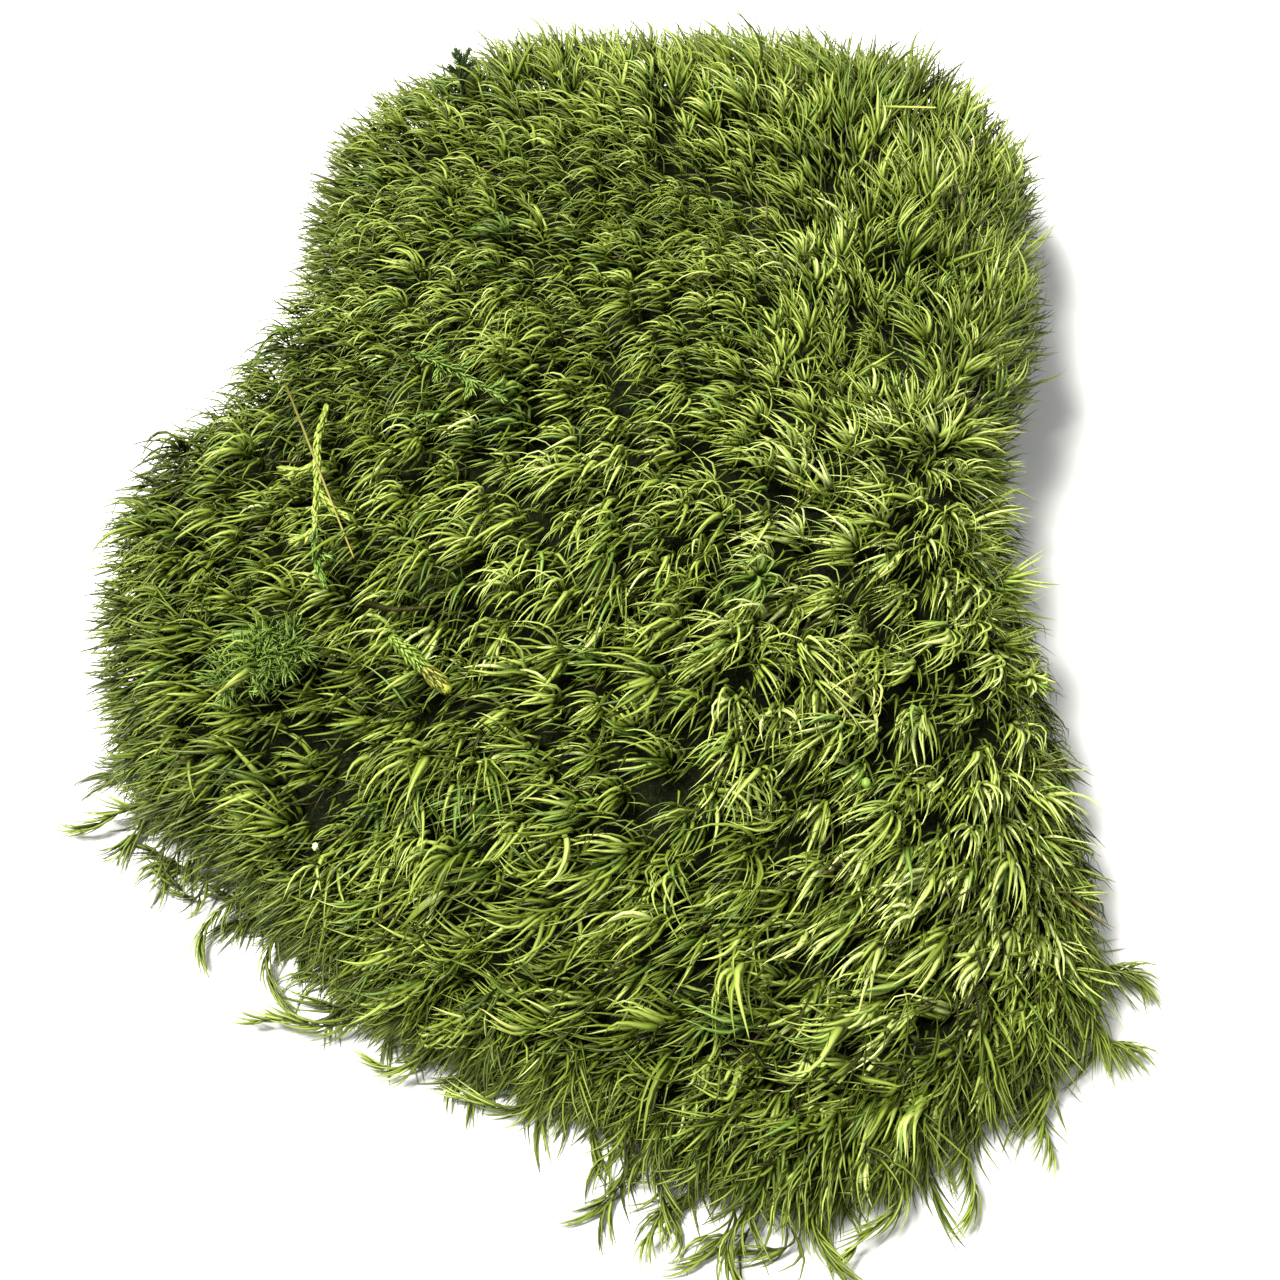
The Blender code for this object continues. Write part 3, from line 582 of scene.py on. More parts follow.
    def young_form(self, share, tangent, radial, noise, more, hair, hook):
        """Green leaves: each opens off the stem, then its tip turns to the
        sweep w, arched over the axis, held out sideways a little along the
        radius, and pulled down where the shoot lies. The stiff ones at the
        right edge stay brushed along the stem."""
        w, ax = self.sweep[:, None], self.axis[:, None]
        lie, claw, brush, bend, looping, ripple = (
            a[:, None, None] for a in (self.lie, self.claws, self.stiff,
                                       self.bend, self.looping, self.ripple))
        arc = (self.arch * (1 - 0.9 * self.stiff))[:, None, None] \
            * (1 + 0.22 * more[..., :1])
        aside = np.cross(self.axis, self.sweep)[:, None]
        droop = np.array((0.05, -0.62, -0.30))
        fan = self.fan[:, None]
        open_at = ((np.radians(24 + 30 * share) + 0.7 * fan)
                   * (1 - 0.35 * self.lie[:, None]))[..., None] \
            + 0.10 * noise[..., :1]
        out = np.cos(open_at) * tangent + np.sin(open_at) * radial \
            + (0.28 - 0.14 * claw) * ax \
            + (0.50 * claw - 0.22 * (1 - lie) * (1 - claw)) * w
        hold = (fan * (0.4 + 0.9 * share))[..., None]
        stray = (1 - 0.5 * lie) * (0.08 + 0.16 * hair[..., None]
                                   * noise[..., 2:] ** 2)
        tip = ((1 + 0.3 * claw) * w + (0.80 - 1.28 * arc - 0.40 * claw)
               * (1 - 0.6 * lie) * ax
               + 0.30 * lie * droop + hold * radial + stray * more) \
            + brush * (1.1 * tangent + 0.45 * radial - 0.75 * w)
        curl = (-1.05 * arc * (1 - 0.5 * lie) * ax - 0.12 * w
                + 0.35 * lie * droop
                - (0.35 + 0.8 * lie + 0.4 * claw) * hold * radial
                + (bend + (0.20 + 0.20 * lie) * noise[..., 1:2]) * aside
                + stray * noise) * (1 - 0.8 * brush)
        bow = 0.50 * arc * (1 - 0.6 * lie) * (1 - brush) * (1 - claw) * w \
            + (looping + 0.8 * hook) * aside
        wave = (0.14 * noise[..., 2:] - 0.35 * bend + ripple) * aside
        return dict(out=out, tip=tip, curl=curl, wave=wave, bow=bow)

    def leaves(self, first, number, total, span, rings, old=False):
        """Rows for blades(): leaves first to first + number of total, set in
        a golden-angle spiral from the top of the span of the stem down."""
        rng, many = self.rng, (len(self.p), number)
        order = first + np.arange(number)[None, :]
        share = np.clip((order + rng.uniform(-0.3, 0.3, many) + 0.5) / total,
                        0, 1)
        at = span[1] - (span[1] - span[0]) * share ** 1.1
        base, tangent = self.stem_at(np.clip(at, 0.0, 1.0))
        turn = order * GOLDEN + self.phase + rng.normal(0, 0.25, many)
        w, ax = self.sweep[:, None], self.axis[:, None]
        e1 = unit(w - tangent * (w * tangent).sum(-1, keepdims=True) + 1e-6)
        e2 = np.cross(tangent, e1)
        radial = (np.cos(turn)[..., None] * e1 + np.sin(turn)[..., None] * e2)
        noise = rng.normal(0, 1, (*many, 3))
        more = rng.normal(0, 1, (*many, 3))
        hair = rng.random(many) < (HAIR_SHARE - 0.12 * self.claws
                                   + 0.4 * self.fine)[:, None]
        stout = rng.random(many) < (0.0 if old else STOUT_SHARE)
        hook = (stout * rng.choice((-1.0, 1.0), many))[..., None]
        if old:
            form = self.old_form(tangent, radial, noise, more)
            size = self.leaf[:, None] * rng.uniform(0.5, 0.85, many)
        else:
            form = self.young_form(share, tangent, radial, noise, more, hair,
                                   hook)
            size = self.leaf[:, None] \
                * (0.74 + 0.34 * np.sin(math.pi * share ** 0.7)) \
                * rng.uniform(0.70, 1.20, many) * (1 + 0.25 * stout)
        broad = np.clip(rng.normal(0, 1, many), -2, 2) * (1 - stout)
        wide = self.settings.leaf_width * np.exp(0.20 * broad) \
            * np.where(hair, 0.5, 1) * (1 + 0.45 * stout) * (
                1.12 + 0.12 * self.lie + 0.10 * self.claws
                - 0.04 * self.brink
                - 0.20 * smooth(self.p[:, 1], 0.030, 0.060))[:, None]
        over = (self.arch * (1 - 0.9 * self.stiff))[:, None, None]
        facing = unit((0.35 + 0.70 * over) * ax - 0.40 * w
                      + (0.90 - 0.55 * over) * radial
                      + 0.22 * rng.normal(0, 1, (*many, 3)))
        tone, kind = self.leaf_tone_and_painted_light(share, broad, stout, old)
        rows = {key: np.broadcast_to(a, (*many, 3)).reshape(-1, 3)
                for key, a in dict(form, base=base, facing=facing).items()}
        return dict(rows, length=size.ravel(), width=wide.ravel(),
                    rings=rings, tone=np.clip(tone, 0.05, 0.88).ravel(),
                    family=kind.ravel())

    def leaf_tone_and_painted_light(self, share, broad, stout, old):
        """Tone and colour family of each leaf: lighter towards the apex, where
        the young leaves are paler, with painted shade on the lower leaves;
        lighter where broad, a painted highlight; browner where old or at the
        dry right edge."""
        rng, shoot_tone_and_painted_light, edge = self.rng, self.shoot_tone_and_painted_light[:, None], self.edge[:, None]
        luck = rng.random(share.shape)
        tone = rng.normal(0, 1, share.shape)
        if old:
            kind = np.where(luck < 0.22, BROWN, YELLOW_GREEN)
            return OLD_TONE + shoot_tone_and_painted_light + 0.15 * tone \
                - 0.08 * (kind != BROWN), kind
        # Lower leaves darker: painted shade, beside the young apex leaves' own
        # lighter tone. Broad leaves lighter: painted highlight
        tone = LEAF_TONE - 0.30 * share + shoot_tone_and_painted_light + 0.09 * tone \
            + 0.04 * broad + 0.10 * (rng.random(share.shape) < 0.10) \
            + 0.06 * stout - 0.20 * edge
        kind = np.where(luck < 0.08, FRESH, YELLOW_GREEN)
        for where, family in (((luck > 0.988) & ~stout, STRAW),
                              (self.fresh[:, None] & (share < 0.6), FRESH),
                              (self.straw[:, None] & (share < 0.8), STRAW),
                              ((edge > 0.5) & (luck < 0.25), BROWN)):
            kind = np.where(where, family, kind)
        return tone, kind

    def stems(self):
        """Rows for blades(): the stems themselves."""
        return dict(base=self.root, out=unit(self.knee - self.root),
                    tip=self.rise, curl=0 * self.rise,
                    length=self.leafy * 1.15 + 0.005,
                    width=0.0007 - 0.0002 * self.lie,
                    facing=unit(self.n + self.sweep), rings=4,
                    tone=STEM_TONE,
                    family=np.where(self.lie > 0.4, YELLOW_GREEN, BROWN))

    def zones(self):
        """Zone of each shoot: front, middle and back, left ones first."""
        x, y = self.p[:, 0], self.p[:, 1]
        zone = np.digitize(y, np.quantile(y, (0.345, 0.67)))
        for z in range(3):
            right = x > np.median(x[zone == z])
            zone = np.where((zone == z) & right, z + 3, zone)
        return zone


def some(rows, keep, number):
    """The part of a group of leaves that belongs to the kept shoots."""
    mask = np.repeat(keep, number)
    return {k: (v[mask] if isinstance(v, np.ndarray) else v)
            for k, v in rows.items()}


def undergrowth(settings):
    """Dark short leaves between the thatch and the shoots' heads, closer over
    the back brow and between the claws. Their dark tone is painted shade deep
    among the shoots."""
    rng = np.random.default_rng(settings.seed + 5)
    patches, normal, area = cushion_patches()
    number = settings.undergrowth
    brow = smooth(patches[:, 0, 1], 0.070, 0.100) \
        * smooth(-normal[:, 2], -0.85, -0.55)
    share = area * (1 + 1.6 * brow + 0.7 * clawed(patches[:, 0]))
    p, pick = scatter(rng, number, patches, share)
    n, brow = normal[pick], brow[pick]
    heading, lean = combed(p)[:2]
    lie = smooth(lean, 0.95, 1.2)
    deep = (rng.uniform(*UNDER_DEPTH, number) - 0.0014 * lie) \
        * (1 - 0.55 * np.clip(1 - n[:, 2], 0, 1)) - 0.0018 * brow
    base = p - n * deep[:, None]
    base[:, 2] = np.maximum(base[:, 2], 0.0009)
    loose = unit(rng.normal(0, 1, (number, 3)))
    rise = np.maximum(n, np.array((-1, -1, 0.15))
                      + (0, 0, 0.6) * brow[:, None])
    out = rise * (0.9 - 0.4 * lie)[:, None] + heading * 0.4 + 0.7 * loose
    tip = heading * 0.9 + 0.5 * unit(rng.normal(0, 1, (number, 3))) \
        + (0, 0, -0.1)
    # Dark tone: painted shade deep among the shoots
    tone = np.clip(0.33 + 0.11 * rng.normal(0, 1, number), 0.05, 0.8)
    kind = np.where(rng.random(number) < 0.08, BROWN, YELLOW_GREEN)
    length = rng.uniform(*UNDER_LENGTH, number) + 0.0020 * brow
    return blades(base, out, tip, 0.3 * loose, length,
                  rng.uniform(0.0006, 0.0010, number), unit(n + 0.6 * loose),
                  2, tone, kind)


# ---- thatch and felt
def thatch_shape():
    """Dead thatch under the leaves: the cushion's own formula, set in and
    sunk, with crossing sine waves for its lumps, closed by a flat felt."""
    rows, spokes = 56, 168
    turn = np.concatenate([np.linspace(0.02, 1, rows) ** 1.2,
                           (1.1, 1.2, 1.3)])
    bearing = np.linspace(0, 2 * math.pi, spokes, endpoint=False)
    inset = 0.0045 + 0.0025 * smooth(-np.sin(bearing), -0.2, 0.5)
    top = cushion_point(bearing[None, :], turn[:, None], inset[None],
                        THATCH_DEPTH)
    x, y = top[..., 0], top[..., 1]
    lump = (np.sin(x / 0.0021 + 2 * np.sin(y / 0.0033))
            * np.sin(y / 0.0017 + 1.7 * np.sin(x / 0.0041))
            + 0.6 * np.sin((x - y) / 0.0011) * np.sin((x + y) / 0.0013))
    top[..., 2] += THATCH_LUMP * lump * (turn < 1.25)[:, None]
    under = top[-1][None] * np.linspace(1, 0, 16)[1:-1, None, None]
    lump = np.sin(under[..., 0] / 0.0023) * np.sin(under[..., 1] / 0.0027)
    under[..., 2] = FELT_Z + FELT_LUMP * lump
    top[-1, :, 2] = 0.0006
    rings = np.concatenate([top, under])
    total = len(rings)
    verts = np.vstack([[0, 0, top_height(0.0, 0.0) - THATCH_DEPTH],
                       rings.reshape(-1, 3), [0, 0, FELT_Z]])
    place = np.repeat(np.linspace(0.03, 0.97, total), spokes)
    around = np.tile(0.02 + 0.96 * np.abs(2 * np.arange(spokes) / spokes - 1),
                     total)
    uv = np.vstack([(0.5, 0.02), np.stack([around, place], 1), (0.5, 0.98)])
    return verts, tube_faces(total, spokes)[:, ::-1], uv


def felt_fibres(rng, number=FIBRES):
    """Root fibres and cut stem ends lying in the flat underside."""
    bearing = rng.uniform(0, 2 * math.pi, number)
    away = (rim_reach(bearing) - UNDERCUT - 0.006) \
        * np.sqrt(rng.uniform(0.0, 1.0, number))
    base = np.stack([away * np.cos(bearing), away * np.sin(bearing),
                     rng.uniform(0.0003, 0.0011, number)], 1)
    turn = rng.uniform(0, 2 * math.pi, number)
    bend = turn + rng.normal(0, 0.9, number)
    out, tip, curl = (np.stack([np.cos(a), np.sin(a), 0 * a], 1)
                      for a in (turn, bend, bend + 1.2))
    return blades(base, out, tip, curl * 0.6,
                  rng.uniform(*FIBRE_LENGTH, number),
                  rng.uniform(*FIBRE_WIDTH, number),
                  -UP, 3, np.clip(rng.normal(0.45, 0.2, number), 0.05, 0.95),
                  BROWN)


# ---- loose shoots
def curve(points, count):
    """A rounded (Catmull-Rom) curve through the points."""
    pts = np.array(points, float)
    padded = np.vstack([2 * pts[0] - pts[1], pts, 2 * pts[-1] - pts[-2]])
    s = np.linspace(0, len(pts) - 1, count)
    i = np.minimum(s.astype(int), len(pts) - 2)
    t = (s - i)[:, None]
    a, b, c, d = (padded[i + step] for step in range(4))
    return 0.5 * (2 * b + (c - a) * t + (2 * a - 5 * b + 4 * c - d) * t ** 2
                  + (3 * b - a - 3 * c + d) * t ** 3)


def resting(points, count, over):
    """A rounded curve that lies over the leaf tips at a running mean of
    their height."""
    plan = curve(points, count)
    height = surface_at(plan[:, 0], plan[:, 1])
    height = np.convolve(np.pad(height, 2, "edge"), np.ones(5) / 5, "valid")
    return np.column_stack([plan, height + over])


def along_path(path, share):
    """Points of a path at shares of its list, straight between them."""
    steps = np.linspace(0, 1, len(path))
    return np.stack([np.interp(share, steps, path[:, k]) for k in range(3)],
                    -1)


def leafy_path(rng, path, number, size, width, open_at, hold, lean_to, tone,
               family, rings=3, start=0.0, facing=None, spread_tone=0.08):
    """Leaves set in a spiral along a path.

    Each leaves the path at open_at radians; its tip turns to the path's own
    heading plus hold (less towards the path's end) times its radius plus
    lean_to.
    """
    share = np.clip(start + (1 - start) * (np.arange(number) + rng.uniform(
        -0.4, 0.4, number)) / (number - 1), 0, 1)
    base = along_path(path, share)
    tangent = unit(along_path(unit(np.gradient(path, axis=0)), share))
    e1 = unit(np.cross(tangent, UP) + 1e-9)
    e2 = np.cross(e1, tangent)
    turn = np.arange(number) * GOLDEN + rng.normal(0, 0.25, number)
    radial = np.cos(turn)[:, None] * e1 + np.sin(turn)[:, None] * e2
    angle = (open_at * rng.uniform(0.8, 1.2, number)
             * (1 - 0.45 * share ** 3))[:, None]
    out = np.cos(angle) * tangent + np.sin(angle) * radial
    hold = hold * (1 - 0.7 * share[:, None])
    tip = tangent + hold * radial + lean_to + 0.10 * rng.normal(
        0, 1, (number, 3))
    curl = 0.9 * np.array(lean_to) - 0.5 * hold * radial
    length = size * (0.75 + 0.35 * np.sin(math.pi * share)) \
        * rng.uniform(0.82, 1.18, number)
    face = radial + 0.4 * e2 if facing is None else facing + 0.4 * radial
    wide = width * rng.uniform(0.8, 1.15, number)
    tone = tone - 0.12 * (1 - share) \
        + spread_tone * rng.normal(0, 1, number)
    return blades(base, out, tip, curl, length, wide, unit(face), rings,
                  np.clip(tone, 0.05, 0.95), family)


def stem(path, half, tone):
    """A thin brown stem that tapers evenly along its path."""
    half = half * (1.1 - 0.6 * np.linspace(0, 1, len(path)))
    return cord(path, half, half, 5, tone, BROWN)


def trailing_shapes(rng, name, settings):
    """Stem and leaves of a trailing shoot: in plan its heading turns evenly
    along it and a sine of its length sways it. The right ones are bushy."""
    bearing, leaving, at_tip, length, half = TRAILING[name]
    bearing = math.radians(bearing)
    start = (float(rim_reach(bearing)) - TUCK) * np.array(
        (math.cos(bearing), math.sin(bearing)))
    count = 24
    heading = np.radians(np.linspace(leaving, at_tip, count))
    steps = (length + 0.001) / (count - 1) * np.column_stack(
        [np.cos(heading), np.sin(heading)])
    plan = start + np.vstack([[(0, 0)], np.cumsum(steps[:-1], 0)])
    t = np.linspace(0, 1, count)
    rise = half * (1.1 + 0.9 * np.sin(math.pi * t) + 0.6 * t)
    path = np.column_stack([plan, rise])
    chord = path[-1] - path[0]
    side = unit(np.array((-chord[1], chord[0], 0.0))) \
        * np.sign(at_tip - leaving)
    sway = half * np.sin(2.2 * math.pi * t + rng.uniform(0, 6))
    path = path + side * (sway * np.minimum(1, 4 * t))[:, None]
    bushy = 1.0 if "right" in name else 0.0
    lean_to = side * (0.55 - 0.25 * bushy) + np.array((0.0, -0.15, -0.10))
    leaves = leafy_path(
        rng, path, int((26 + 9000 * half) * (1 + 1.2 * bushy)),
        0.0056 + 1.4 * half, settings.leaf_width * 0.62, 0.42 + 0.40 * bushy,
        0.16 + 0.45 * bushy, lean_to, 0.58 - 0.04 * bushy, YELLOW_GREEN, 5,
        0.02, UP, 0.10)
    return [stem(path, STEM_HALF, 0.36), leaves]


def fringe_shapes(settings):
    """Loose shoots lying out over the lower edge: each path is a rounded
    curve from inside the rim, over its brink and down to the ground."""
    rng = np.random.default_rng(settings.seed + 9)
    bearing = np.radians(np.linspace(*FRINGE_ARC, settings.fringe)
                         + rng.uniform(-1.6, 1.6, settings.fringe))
    shapes = []
    for angle in bearing:
        place = np.array((math.cos(angle), math.sin(angle)))
        reach = float(rim_reach(angle))
        start = place * (reach - rng.uniform(0.004, 0.012))
        heading = combed(np.array([[*start, 0.0]]))[0][0, :2]
        heading = unit(heading + place * 0.55 + rng.normal(0, 0.20, 2))
        across = np.array((-heading[1], heading[0]))
        from_left = (math.degrees(angle) % 360 - 236) / 20
        length = rng.uniform(*FRINGE_LENGTH) \
            * (1 - 0.45 * math.exp(-from_left ** 2))
        sway = (0, *rng.normal(0, 0.0028, 2), 0)
        low = min(float(surface_at(*start[:, None])[0]), 0.012)
        heights = (low * 0.8, low * 0.75 + 0.001, 0.0028, 0.0010)
        path = curve([(*(start + heading * length * t + across * s), z)
                      for t, s, z in zip((0, 0.35, 0.7, 1), sway, heights)],
                     20)
        shapes.append(stem(path, FRINGE_STEM_HALF, 0.34))
        side = np.array((*across, 0.0)) * rng.choice((-1.0, 1.0)) \
            * rng.uniform(0.3, 1.0)
        size = rng.uniform(0.0080, 0.0115)
        # Darker towards the left side and lighter towards the front right:
        # painted shade and painted light
        tone = 0.50 + 0.06 * math.sin(angle + 0.9) + 0.05 * math.cos(angle) \
            + rng.normal(0, 0.05)
        shapes.append(leafy_path(
            rng, path, 20, size, settings.leaf_width * 0.74, 0.42, 0.06,
            side + np.array((-0.08, -0.15, -0.08)), tone, YELLOW_GREEN, 4,
            0.0, UP, 0.12))
    return shapes


def skirt(settings):
    """Short dark leaves hanging round the edge, half of them along the front:
    each sits at random height on the brink and bends from outwards to
    downwards. Their dark tone is painted shade under the edge."""
    rng = np.random.default_rng(settings.seed + 11)
    number = settings.skirt
    angle = np.radians(np.where(
        np.arange(number) % 2 == 0, rng.uniform(180, 348, number),
        rng.uniform(0, 360, number)))
    place = np.column_stack([np.cos(angle), np.sin(angle)])
    start = place * (rim_reach(angle) - rng.uniform(0.001, 0.008, number)
                     )[:, None]
    high = rng.uniform(0.05, 0.75, number) * surface_at(*start.T)
    base = np.column_stack([start, np.clip(high, 0.0009, 0.014)])
    ahead = combed(base)[0] + np.column_stack([place * 0.9, 0 * angle])
    loose = rng.normal(0, 0.30, (number, 3))
    return blades(base, ahead + loose + (0, 0, 0.2),
                  ahead + loose - (0, 0, 0.55), 0.4 * loose,
                  rng.uniform(*SKIRT_LENGTH, number),
                  rng.uniform(*SKIRT_WIDTH, number),
                  unit(np.column_stack([place, 0 * angle + 1.0])), 2,
                  np.clip(rng.normal(0.34, 0.10, number), 0.05, 0.8),
                  YELLOW_GREEN)


# ---- other mosses and litter
def sprig(rng, path, half, branches, number, size, width, open_at, tone,
          family, rise=0.0002):
    """A scaly stem with scaly side branches, each a rounded curve from the
    stem to its reach."""
    lines = [(path, number)]
    for place, sideways, forward in branches:
        here = along_path(path, place)
        ahead = unit(along_path(path, min(place + 0.05, 1))
                     - along_path(path, max(place - 0.05, 0)))
        left = unit(np.cross(UP, ahead))
        tip = here + left * sideways + ahead * forward + UP * rise
        mid = (here + tip) / 2 + ahead * 0.15 * abs(sideways)
        lines.append((curve((here, mid, tip), 12), max(int(number * 0.3), 9)))
    shapes = []
    for line, leaves in lines:
        thick = half * (0.55 - 0.25 * np.linspace(0, 1, len(line)))
        shapes.append(cord(line, thick, thick * 0.9, 6, tone - 0.15, family))
        shapes.append(leafy_path(rng, line, leaves, size, width, open_at,
                                 0.12, np.zeros(3), tone, family, 3, 0.0,
                                 None, 0.09))
    return shapes


def patch_middle(rng, number=320):
    """The bushy middle of the green patch: small leaves every way from
    places in an ellipse."""
    turn = rng.uniform(0, 2 * math.pi, number)
    away = np.sqrt(rng.random(number))
    spot = np.column_stack([-0.0602 + 0.0058 * away * np.cos(turn),
                            -0.0100 + 0.0052 * away * np.sin(turn)])
    base = np.column_stack([spot, surface_at(*spot.T) - 0.0032
                            + 0.0022 * rng.random(number)])
    out = rng.normal(0, 1, (number, 3)) + (0, 0, 0.7)
    return blades(base, unit(out), out + rng.normal(0, 0.8, (number, 3)),
                  rng.normal(0, 0.4, (number, 3)),
                  rng.uniform(0.0020, 0.0038, number),
                  rng.uniform(0.0004, 0.0007, number),
                  UP, 2, np.clip(rng.normal(0.60, 0.12, number), 0.1, 0.9),
                  FRESH)


def lime_shapes(rng):
    """A lumpy cord, its lumps a sine of length and side, with scales and a
    blunt withered end."""
    path = resting(LIME_LINE, 30, 0.0002)
    t = np.linspace(0, 1, 30)
    lump = 1 + 0.12 * np.sin(t[:, None] * 60 + np.arange(9)[None, :] * 2.1)
    swell = 0.6 + 0.4 * t
    return [cord(path, 0.00085 * swell, 0.00080 * swell, 9, 0.58,
                 YELLOW_GREEN, 0.3, lump),
            leafy_path(rng, path[:22], 130, 0.0024, 0.0013, 0.95, 0.50,
                       np.zeros(3), 0.68, FRESH),
            leafy_path(rng, path[15:25], 80, 0.0032, 0.0015, 0.80, 0.25,
                       np.zeros(3), 0.33, STRAW, 3, 0.1)]


def stalk(path, half, tone, family, wear=0.12, sides=8):
    """A dry stalk: a tapering cord dented by two sines of its length."""
    t = np.linspace(0, 1, len(path))
    phase = np.arange(sides)[None, :] * 1.9
    lump = 1 + wear * np.sin(t[:, None] * 41 + phase) \
        + 0.5 * wear * np.sin(t[:, None] * 97 - phase)
    wide = half * (1.05 - 0.45 * t) * (0.45 + 0.55 * np.minimum(
        1, np.minimum(t, 1 - t) / 0.04))
    return cord(path, wide, wide * 0.9, sides, tone, family, 0.1, lump)


def needle_path():
    """The needle's line: straight, carried by the highest tufts, and
    bowed by a sine."""
    path = resting(NEEDLE_LINE, 40, 0.0)
    path[:, 2] = path[:, 2].max() + 0.0004 \
        + 0.0005 * np.sin(np.linspace(0, 7, 40))
    return path


def pale_path():
    """The pale stalk's line: level with the highest leaf tip under it."""
    path = resting(PALE_LINE, 24, 0.0006)
    path[:, 2] = path[:, 2].max()
    return path


def broad_leaf():
    """A folded strip: its width a sine of its length, its midrib raised."""
    path = resting(BROAD_LINE, 26, 0.0002)
    t = np.linspace(0, 1, 26)
    wide = 0.00050 * np.sin(math.pi * (0.05 + 0.94 * t ** 1.3))
    lump = 1 + 0.25 * np.cos(np.arange(12) * math.pi / 3)
    path[:, 2] += 0.0008 * np.sin(math.pi * t)
    return cord(path, wide, wide * 0.22, 12, 0.47, YELLOW_GREEN, 0.0, lump)


def loose_bit(place, radii, tone, family, wear):
    """An ellipsoid with three radii, dented by two crossing sine waves."""
    rows, sides = 18, 16
    polar = np.linspace(0, math.pi, rows)
    spot = resting((place, (place[0] + 0.0002, place[1] - 0.0002)), 2,
                   0.0006)[0]
    path = spot + np.stack([0 * polar, -radii[1] * np.cos(polar),
                            0.15 * radii[2] * np.sin(polar)], 1)
    turn = np.arange(sides)[None, :] * 2 * math.pi / sides
    lump = 1 + wear * np.sin(5 * turn + 3 * polar[:, None]) \
        + wear * 0.6 * np.sin(7 * polar[:, None] - 2 * turn)
    return cord(path, radii[0] * np.sin(polar), radii[2] * np.sin(polar),
                sides, tone, family, 0.0, lump)


# ---- materials
def node(tree, kind, inputs=(), **values):
    """A new node: its plain values set, and its inputs, given as (name,
    value) pairs, linked to a socket or set to a plain value."""
    made = tree.nodes.new(kind)
    for key, value in values.items():
        setattr(made, key, value)
    for key, value in inputs:
        if isinstance(value, bpy.types.NodeSocket):
            tree.links.new(value, made.inputs[key])
        else:
            made.inputs[key].default_value = value
    return made


def sum_of(tree, operation, first, second=0.0):
    """Output of a maths node."""
    return node(tree, "ShaderNodeMath", ((0, first), (1, second)),
                operation=operation).outputs[0]


def mixed(tree, first, second, factor=1.0, blend_type="MULTIPLY"):
    """Two colours mixed."""
    return node(tree, "ShaderNodeMix",
                ((0, factor), (6, first), (7, second)),
                data_type="RGBA", blend_type=blend_type).outputs[2]


def mapped(tree, value, span, result):
    """A value carried from one span over to another, kept within it."""
    return node(tree, "ShaderNodeMapRange", (
        ("Value", value), ("From Min", span[0]), ("From Max", span[1]),
        ("To Min", result[0]), ("To Max", result[1]))).outputs["Result"]


def ramp(tree, value, stops):
    """A value's colour on a ramp through (place, red, green, blue)."""
    made = node(tree, "ShaderNodeValToRGB", (("Fac", value),))
    parts = made.color_ramp.elements
    while len(parts) < len(stops):
        parts.new(0.5)
    for part, (place, *colour) in zip(parts, stops):
        part.position = place
        part.color = (*colour, 1.0)
    return made.outputs["Color"]


def new_material(name, roughness, shine):
    """A material, its node tree and its shader."""
    mat = bpy.data.materials.new(name)
    mat.use_nodes = True
    shader = mat.node_tree.nodes["Principled BSDF"]
    shader.inputs["Roughness"].default_value = roughness
    shader.inputs["Specular IOR Level"].default_value = shine
    return mat, mat.node_tree, shader


def leaf_colour_group():
    """Node group: a leaf's colour from its tone, family and place along it."""
    found = bpy.data.node_groups.get("Leaf colour")
    if found:
        return found
    tree = bpy.data.node_groups.new("Leaf colour", "ShaderNodeTree")
    for name, in_out, kind in (
            ("Tone", "INPUT", "Float"), ("Family", "INPUT", "Float"),
            ("Along", "INPUT", "Float"), ("Colour", "OUTPUT", "Color"),
            ("Roughness", "OUTPUT", "Float"), ("Shine", "OUTPUT", "Float")):
        tree.interface.new_socket(name=name, in_out=in_out,
                                  socket_type="NodeSocket" + kind)
    tone, family, along = node(tree, "NodeGroupInput").outputs[:3]
    families = (
        ((0.0, 0.010, 0.020, 0.001), (0.30, 0.076, 0.114, 0.007),
         (0.55, 0.232, 0.308, 0.032), (0.78, 0.480, 0.580, 0.128),
         (1.0, 0.780, 0.835, 0.420)),
        ((0.0, 0.011, 0.022, 0.002), (0.35, 0.062, 0.108, 0.013),
         (0.70, 0.190, 0.310, 0.046), (1.0, 0.450, 0.600, 0.170)),
        ((0.0, 0.060, 0.064, 0.010), (0.45, 0.275, 0.325, 0.052),
         (1.0, 0.740, 0.780, 0.260)),
        ((0.0, 0.009, 0.009, 0.002), (0.40, 0.060, 0.056, 0.013),
         (1.0, 0.300, 0.265, 0.080)),
    )
    colour = ramp(tree, tone, families[0])
    for index, stops in enumerate(families[1:]):
        past = sum_of(tree, "GREATER_THAN", family, index + 0.5)
        colour = mixed(tree, colour, ramp(tree, tone, stops), past, "MIX")
    # Along the leaf: dark at the base, over-bright past the middle. This is
    # painted shade at the base and painted highlight along the arch, partly
    # the leaf's own darker base and paler tip
    painted_shade_and_highlight = ramp(tree, along, (
        (0.0, 0.18, 0.22, 0.10), (0.16, 0.54, 0.60, 0.40),
        (0.38, 0.97, 0.99, 0.92), (0.75, 1.18, 1.16, 1.15),
        (1.0, 1.15, 1.06, 1.00)))
    node(tree, "NodeGroupOutput", (
        ("Colour", mixed(tree, colour, painted_shade_and_highlight)),
        ("Roughness", mapped(tree, along, (0.0, 1.0), (0.60, 0.30))),
        ("Shine", mapped(tree, along, (0.0, 0.55), (0.10, 1.0)))))
    return tree


